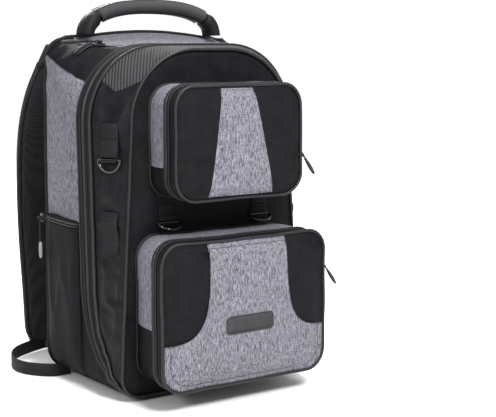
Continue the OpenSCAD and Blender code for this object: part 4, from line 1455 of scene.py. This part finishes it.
def foot_share():
    for i in range(len(STRAP_PATH) - 1):
        a, b = STRAP_PATH[i], STRAP_PATH[i + 1]
        if b.z < STRAP_FOOT <= a.z:
            return i + (a.z - STRAP_FOOT) / (a.z - b.z)
    return len(STRAP_PATH) - 1.0


def share_at(z):
    """Share of the strap's path nearest to height z."""
    last = len(STRAP_PATH) - 1
    return min(steps(400), key=lambda t: abs(path_at(t * last)[0].z - z)) * last


FOOT_SHARE = foot_share()
BEND = 0.6
ARM_START = PIVOT_STEP - BEND
YOKE_END = PIVOT_STEP - 0.5
# Heights of the slanted seams across a strap, at its inner and outer edge
NECK_SEAM = (0.404, 0.428)
CHEVRON_SEAM = (0.346, 0.372)
LOWER_SEAM = (0.214, 0.240)


def half_thick(across):
    """Half the pad's thickness, fuller along the middle of the strap."""
    edge = abs(2 * across - 1)
    return STRAP_T * (0.2 + 0.3 * (1 - edge ** 3) ** 0.5)


def bend_across_pivot(obj):
    """Bakes the object's transform into its mesh."""
    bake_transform(obj)


def flank(p):
    """The grey neck cloth stops short of the harness's outer edge."""
    return 0.104 + 0.12 * max(0, BODY_H - 20 * MM - p.z) - abs(p.x)


def slanted(seam, sign):
    """Keeps the cloth above (sign 1) or below (sign -1) a slanted seam."""
    return lambda p: sign * (p.z - lerp(*seam, (abs(p.x) - 68 * MM) / (78 * MM)))


def arm_middle(side):
    return Vector((side * 0.1, 0.16, 0.25))


def build_arm_cloths(side, label):
    """The strap's mesh pad, the cloths over it and their bound edges."""
    places = steps(12)
    rings = []
    for t in steps(64):
        share = lerp(ARM_START, FOOT_SHARE, t)
        rings.append([strap_point(side, share, c, half_thick(c)) for c in places]
                     + [strap_point(side, share, c, -half_thick(c)) for c in places[::-1]])
    bm = blank_mesh()
    add_capped(bm, rings)
    pad = piece("arm_pad_" + label, bm, mesh_cloth, None)
    bend_across_pivot(pad)
    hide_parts("strap_" + label)

    for word, material, out, keep, bends in (
            ("neck", melange, 1.0, [slanted(NECK_SEAM, 1), flank], True),
            ("chevron", black_cloth, 0.4, [slanted(CHEVRON_SEAM, 1)], True),
            ("grey", melange, 0.7, [slanted(CHEVRON_SEAM, -1), slanted(LOWER_SEAM, 1)], False),
            ("lower", pocket_cloth, 0.6, [slanted(LOWER_SEAM, -1)], False)):
        start = ARM_START if bends else PIVOT_STEP + 0.62
        rows = [[strap_point(side, lerp(start, FOOT_SHARE, t), c, half_thick(c) + out * MM)
                 for c in places] for t in steps(60)]
        obj = cloth("arm_%s_cloth_%s" % (word, label), rows, material,
                    None if bends else "arm_" + label, 0.8 * MM, centre=arm_middle(side),
                    keep=keep)
        if bends:
            bend_across_pivot(obj)

    shares = [lerp(ARM_START, FOOT_SHARE, t) for t in steps(70)]
    for edge, word in ((0.0, "inner"), (1.0, "outer")):
        bm = blank_mesh()
        sweep(bm, [strap_point(side, share, edge, 0) for share in shares],
              circle(5.2 * MM, 10), [path_at(share)[1] for share in shares])
        for v in bm.verts:
            inside = inner_x(v.co.z) - 3.2 * MM
            outside = outer_x(v.co.z) + 3.2 * MM
            v.co.x = side * min(outside, max(inside, abs(v.co.x)))
        obj = piece("arm_binding_%s_%s" % (word, label), bm, webbing, None)
        bend_across_pivot(obj)
    foot = [strap_point(side, FOOT_SHARE, t, 0) for t in steps(8)]
    tube("arm_binding_foot_" + label, foot, 4.6 * MM, webbing, "arm_" + label)


def build_arm_pocket(side, label):
    """Pocket on the lower strap with its zip along the inner edge."""
    arm = "arm_" + label
    pocket_lo, pocket_hi = box_of("strap_pocket_" + label)
    start = share_at(pocket_hi.z - 4 * MM)
    end = share_at(pocket_lo.z)
    rows = []
    for t in steps(40):
        row = []
        for k in steps(14):
            c = lerp(0.1, 0.96, k)
            ends = smooth(min(t, 1 - t) / 0.07)
            rim = (1 - abs(2 * k - 1) ** 4) ** 0.5
            lift = half_thick(c) + 1.0 * MM + 7.0 * MM * ends * rim
            p = strap_point(side, lerp(start, end, t), c, lift)
            p.y += fuzz(p, 30, 1, 16, 51) * 0.9 * MM * ends
            row.append(p)
        rows.append(row)
    below = slanted(LOWER_SEAM, -1)
    obj = cloth("arm_pocket_cloth_" + label, rows, pocket_cloth, arm, 1.0 * MM,
                centre=arm_middle(side), keep=[below])
    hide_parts("strap_pocket_" + label)
    rows = [row for row in rows[1:-1] if below(row[2]) > 1 * MM]
    line = [row[2] + REARWARD * 0.6 * MM for row in rows]
    tube("arm_pocket_zip_" + label, line, 1.3 * MM, zip_coil, arm,
         normals=[REARWARD] * len(line))
    for k in (1, 3):
        fold = [row[k] + REARWARD * 0.2 * MM for row in rows]
        tube("arm_pocket_fold_%d_%s" % (k, label), fold, 0.8 * MM, piping, arm, sides=6)


def build_arm_loops(side, label):
    """The ring tab above the strap's pocket and the upright loop on the pocket."""
    arm = "arm_" + label
    _, pocket_hi = box_of("strap_pocket_" + label)
    start = share_at(pocket_hi.z - 4 * MM)
    place, _ = joint_place("strap_ring_%s_swing" % label)
    up = (path_at(start - 3)[0] - path_at(start - 0.5)[0]).normalized()
    out = Vector((0, up.z, -up.y))
    if out.y < 0:
        out = -out
    obj = tab("arm_ring_tab_" + label, place - out * LOOP_R, up, out, 36 * MM, arm)
    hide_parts("strap_trim_" + label)
    middle = STRAP_OUT - STRAP_W / 2 - 6 * MM
    loop = []
    for t in steps(10):
        p, n = path_at(share_at(lerp(198, 132, t) * MM))
        lift = STRAP_T / 2 + 8.6 * MM + (2.2 * MM if 0.12 < t < 0.88 else 0)
        loop.append(Vector((side * middle, p.y, p.z)) + n * lift)
    strip("arm_upright_loop_" + label, loop, [REARWARD] * len(loop), 18 * MM, 1.8 * MM, webbing,
          arm)


def build_yoke():
    half = STRAP_OUT + 2 * MM

    def neck(p):
        """Distance outside the neck opening."""
        dx = max(0, abs(p.x) - (NECK_HALF - NECK_R))
        dz = max(0, p.z - (NECK_TOP - NECK_R))
        return math.hypot(dx, dz) - NECK_R

    def surface(out_scale, lift):
        """The yoke's outer cloth, or with a negative scale the one against the back."""
        rows = []
        for t in steps(20):
            p, n = path_at(lerp(0, YOKE_END, t))
            row = []
            for k in steps(72):
                x = lerp(-half, half, k)
                thick = STRAP_T / 2 * (0.82 + 0.18 * math.cos(math.pi * k * 2 - math.pi))
                row.append(Vector((x, p.y, p.z)) + n * (thick * out_scale + lift))
            rows.append(row)
        return rows

    centre = Vector((0, 0.1, 0.38))
    cloth("yoke_under_cloth", surface(-0.85, 0), mesh_cloth, "bag", 1.2 * MM,
          centre=Vector((0, 0.3, 0.5)), keep=[neck])
    outer = cloth("yoke_cloth", surface(1.0, -0.4 * MM), black_cloth, "bag", 1.4 * MM,
                  centre=centre, keep=[neck])
    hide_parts("yoke")

    cloth("yoke_grey_cloth", surface(1.0, 0.5 * MM), melange, "bag", 0.8 * MM, centre=centre,
          keep=[neck, flank])
    # The opening's bound edge, from one arm over to the other
    last = path_at(YOKE_END)[0].z
    low = math.asin((last - (NECK_TOP - NECK_R)) / NECK_R)
    rim = []
    for t in steps(40):
        a = lerp(low, math.pi - low, t)
        x = math.cos(a) * NECK_R + math.copysign(NECK_HALF - NECK_R, math.cos(a))
        z = NECK_TOP - NECK_R + math.sin(a) * NECK_R
        share = min(steps(100), key=lambda s: abs(path_at(s * PIVOT_STEP)[0].z - z))
        rim.append(Vector((x, path_at(share * PIVOT_STEP)[0].y, z)))
    tube("yoke_neck_binding", rim, 7.6 * MM, webbing, "bag", sides=12)
    for side, label in SIDES:
        edge = [Vector((side * (half - 1 * MM), p.y, p.z)) for p in
                [path_at(lerp(0, YOKE_END, t))[0] for t in steps(12)]]
        tube("yoke_edge_binding_" + label, edge, 5.6 * MM, webbing, "bag", sides=10)


build_yoke()
for arm_side, arm_label in SIDES:
    build_arm_cloths(arm_side, arm_label)
    build_arm_pocket(arm_side, arm_label)
    build_arm_loops(arm_side, arm_label)


# ---- Loose webbing and buckles ----------------------------------------------

def build_lower_webbing():
    """The loose webbing that lies round from the base seam to each strap's adjuster."""
    for side, label in SIDES:
        lock = sum(box_of("ladder_lock_" + label), Vector()) / 2
        lock.x = abs(lock.x)
        route = [(HALF_W + x * MM, BACK_Y + y * MM, z * MM) for x, y, z in (
            (-20, -24, 7), (8, -22, 7), (34, 8, 7), (38, 44, 7), (20, 84, 7.5), (-14, 108, 8))]
        route += [(lock.x + 12 * MM, lock.y + 2 * MM, 9 * MM),
                  (lock.x - 6 * MM, lock.y - 1 * MM, 11 * MM)]
        route = spline(route, 8)
        path = [Vector((side * p.x, p.y, p.z)) for p in route]
        normals = []
        for i in range(len(path)):
            a, b = path[max(0, i - 1)], path[min(len(path) - 1, i + 1)]
            normals.append(UP.cross((b - a).normalized()).normalized())
        bm = blank_mesh()
        sweep(bm, [p + UP * 3 * MM for p in path], flat(19 * MM, 2.6 * MM), normals)
        obj = piece("lower_webbing_" + label, bm, webbing, None)
        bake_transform(obj)
        if side < 0:
            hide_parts("lower_webbing")


# Blocks of each buckle half in mm: width, thickness, start, end, shift, rounding
PRONGED_HALF = ((26, 7.5, -3, 13, 0, 1.5), (4, 3.2, 12, 29, 0, 0.8), (4, 3.6, 12, 27, 9, 0.8),
                (4, 3.6, 12, 27, -9, 0.8), (6, 4, 22, 28, 10, 0.8), (6, 4, 22, 28, -10, 0.8))
SOCKET_HALF = ((26, 5, -4, 4, 0, 1.5), (28, 8.6, 3, 25, 0, 1.5), (12, 9, 8, 18, 0, 1))


def build_chest_strap():
    """The two halves of the chest strap, hanging open from the straps' inner edges."""
    for node, joint, name in (("chest_strap_male", "chest_male_swing", "chest_strap_long"),
                              ("chest_strap_female", "chest_female_swing", "chest_strap_short")):
        place, _ = joint_place(joint)
        long_one = node == "chest_strap_male"
        lean = 0 if long_one else math.radians(40)
        down = Vector((-math.sin(lean), 0, -math.cos(lean)))
        side = Vector((down.z, 0, -down.x)) * -1
        length = 136 * MM if long_one else 34 * MM
        body = node + "_body"
        path = [place + down * length * t - down * 4 * MM for t in steps(14)]
        if long_one:
            path = [p + side * math.sin(i * 0.7) * 1.2 * MM for i, p in enumerate(path)]
        bm = blank_mesh()
        sweep(bm, [p - REARWARD * 1.2 * MM for p in path], flat(20 * MM, 2.2 * MM),
              [REARWARD] * len(path))
        obj = piece(name + "_webbing", bm, webbing, body)
        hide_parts(node)
        tip = place + down * length

        def block(w, t, z_a, z_b, shift, r):
            """Rounded block of the buckle, from z_a to z_b past the webbing's end."""
            rows = []
            for z, k in ((z_a, 0.75), (z_a + r, 1), (z_b - r, 1), (z_b, 0.75)):
                ring = []
                for dx, dy in ((-w / 2, -t / 2 + r), (-w / 2 + r, -t / 2), (w / 2 - r, -t / 2),
                               (w / 2, -t / 2 + r), (w / 2, t / 2 - r), (w / 2 - r, t / 2),
                               (-w / 2 + r, t / 2), (-w / 2, t / 2 - r)):
                    ring.append(tip + side * (dx * k + shift) + REARWARD * dy * k + down * z)
                rows.append(ring)
            add_capped(buckle, rows)

        buckle = blank_mesh()
        for sizes in PRONGED_HALF if long_one else SOCKET_HALF:
            block(*[size * MM for size in sizes])
        piece(name + "_buckle", buckle, moulded, body)


def build_pull(node):
    """Twisted cord with a moulded end, along the CAD pull's own line."""
    place, _ = joint_place(node + "_swing")
    lo, hi = box_of(node)
    body = node + "_body"
    reach = lo + hi - place * 2
    down = reach.normalized()
    length = min(reach.length, 58 * MM)
    side = down.orthogonal().normalized()
    other = down.cross(side)
    bm = blank_mesh()
    for phase in (0, math.pi):
        path = []
        for t in steps(26):
            open_up = 1.8 * MM * math.exp(-((t - 0.02) / 0.12) ** 2) + 0.8 * MM
            a = phase + t * 16
            path.append(place + down * (length * 0.66 * t) + (
                side * math.cos(a) + other * math.sin(a)) * open_up)
        sweep(bm, path, circle(0.9 * MM, 6))
    cord = piece(node + "_cord", bm, webbing, body)
    bm = blank_mesh()
    path = [place + down * length * lerp(0.6, 1.0, t) for t in steps(14)]

    def swell(t):
        return 0.62 + 0.38 * math.sin(math.pi * min(1, t * 1.05)) ** 0.5 + 0.05 * math.cos(t * 44)
    sweep(bm, path, circle(2.7 * MM, 10), taper=swell)
    piece(node + "_grip", bm, pale_rubber if node.startswith("side") else rubber, body)
    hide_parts(node)


build_lower_webbing()
build_chest_strap()
for pull in ("main_pull", "top_pull", "side_pull_left", "side_pull_right", "upper_pull",
             "lower_pull"):
    build_pull(pull)


# ---- Carried-over CAD nodes --------------------------------------------------

def dress(node, material):
    obj = frame["nodes"][node]
    obj.data.materials.clear()
    obj.data.materials.append(material)


for carried in frame["nodes"]:
    if carried.endswith(("ring_left", "ring_right")):
        dress(carried, ring_gloss)
    elif "slider" in carried:
        dress(carried, dark_metal)
    elif carried.startswith("ladder_lock"):
        dress(carried, moulded)
dress("base_panel", base_cloth)
dress("frame_sheet", lining)


# ---- Studio ----------------------------------------------------------------

SKY_LIGHT = 0.66
SKY_SEEN = 1.04
FLOOR_R = 3.2


def add_area(name, place, target, size, power):
    data = bpy.data.lights.new(name, "AREA")
    data.shape = "DISK"
    data.size = size
    data.energy = power
    light = bpy.data.objects.new(name, data)
    light.location = place
    aim = Vector(target) - Vector(place)
    light.rotation_euler = aim.to_track_quat("-Z", "Y").to_euler()
    scene.collection.objects.link(light)


def build_sky():
    world = bpy.data.worlds.new("studio")
    world.use_nodes = True
    back = world.node_tree.nodes["Background"]
    back.inputs["Color"].default_value = (0.97, 0.98, 1.0, 1)
    # The sky looks whiter than the light it gives
    nodes, links = world.node_tree.nodes, world.node_tree.links
    seen = nodes.new("ShaderNodeLightPath").outputs["Is Camera Ray"]
    strength = math_node(nodes, links, "MULTIPLY_ADD", seen, SKY_SEEN - SKY_LIGHT, SKY_LIGHT)
    links.new(strength, back.inputs["Strength"])
    scene.world = world
    scene.view_settings.view_transform = "Standard"


def build_lights():
    add_area("key_light", (-0.2, -2.1, 2.0), (0, 0, 0.3), 0.7, 92)
    add_area("side_light", (-2.4, -1.3, 1.7), (0, 0, 0.25), 0.6, 22)
    add_area("rear_light", (0.6, 2.4, 1.8), (0, 0, 0.3), 0.9, 70)
    add_area("top_light", (0.1, 0.0, 2.4), (0, 0, 0.3), 1.0, 34)


def build_floor():
    bm = bmesh.new()
    bm.faces.new([bm.verts.new((x, y, 0)) for x, y in circle(FLOOR_R, 64)])
    mesh = bpy.data.meshes.new("floor")
    bm.to_mesh(mesh)
    bm.free()
    floor = bpy.data.objects.new("floor", mesh)
    scene.collection.objects.link(floor)
    material = bpy.data.materials.new("pale_floor")
    material.use_nodes = True
    nodes, links = material.node_tree.nodes, material.node_tree.links
    shader = nodes["Principled BSDF"]
    coord = object_place(nodes)
    tone = noise_node(nodes, links, coord, 3.0)
    ramp = nodes.new("ShaderNodeValToRGB")
    ramp.color_ramp.elements[0].color = (0.92, 0.92, 0.92, 1)
    ramp.color_ramp.elements[1].color = (0.95, 0.95, 0.95, 1)
    links.new(tone, ramp.inputs["Fac"])
    links.new(ramp.outputs["Color"], shader.inputs["Base Color"])
    shader.inputs["Roughness"].default_value = 0.8
    mesh.materials.append(material)


build_sky()
build_lights()
build_floor()
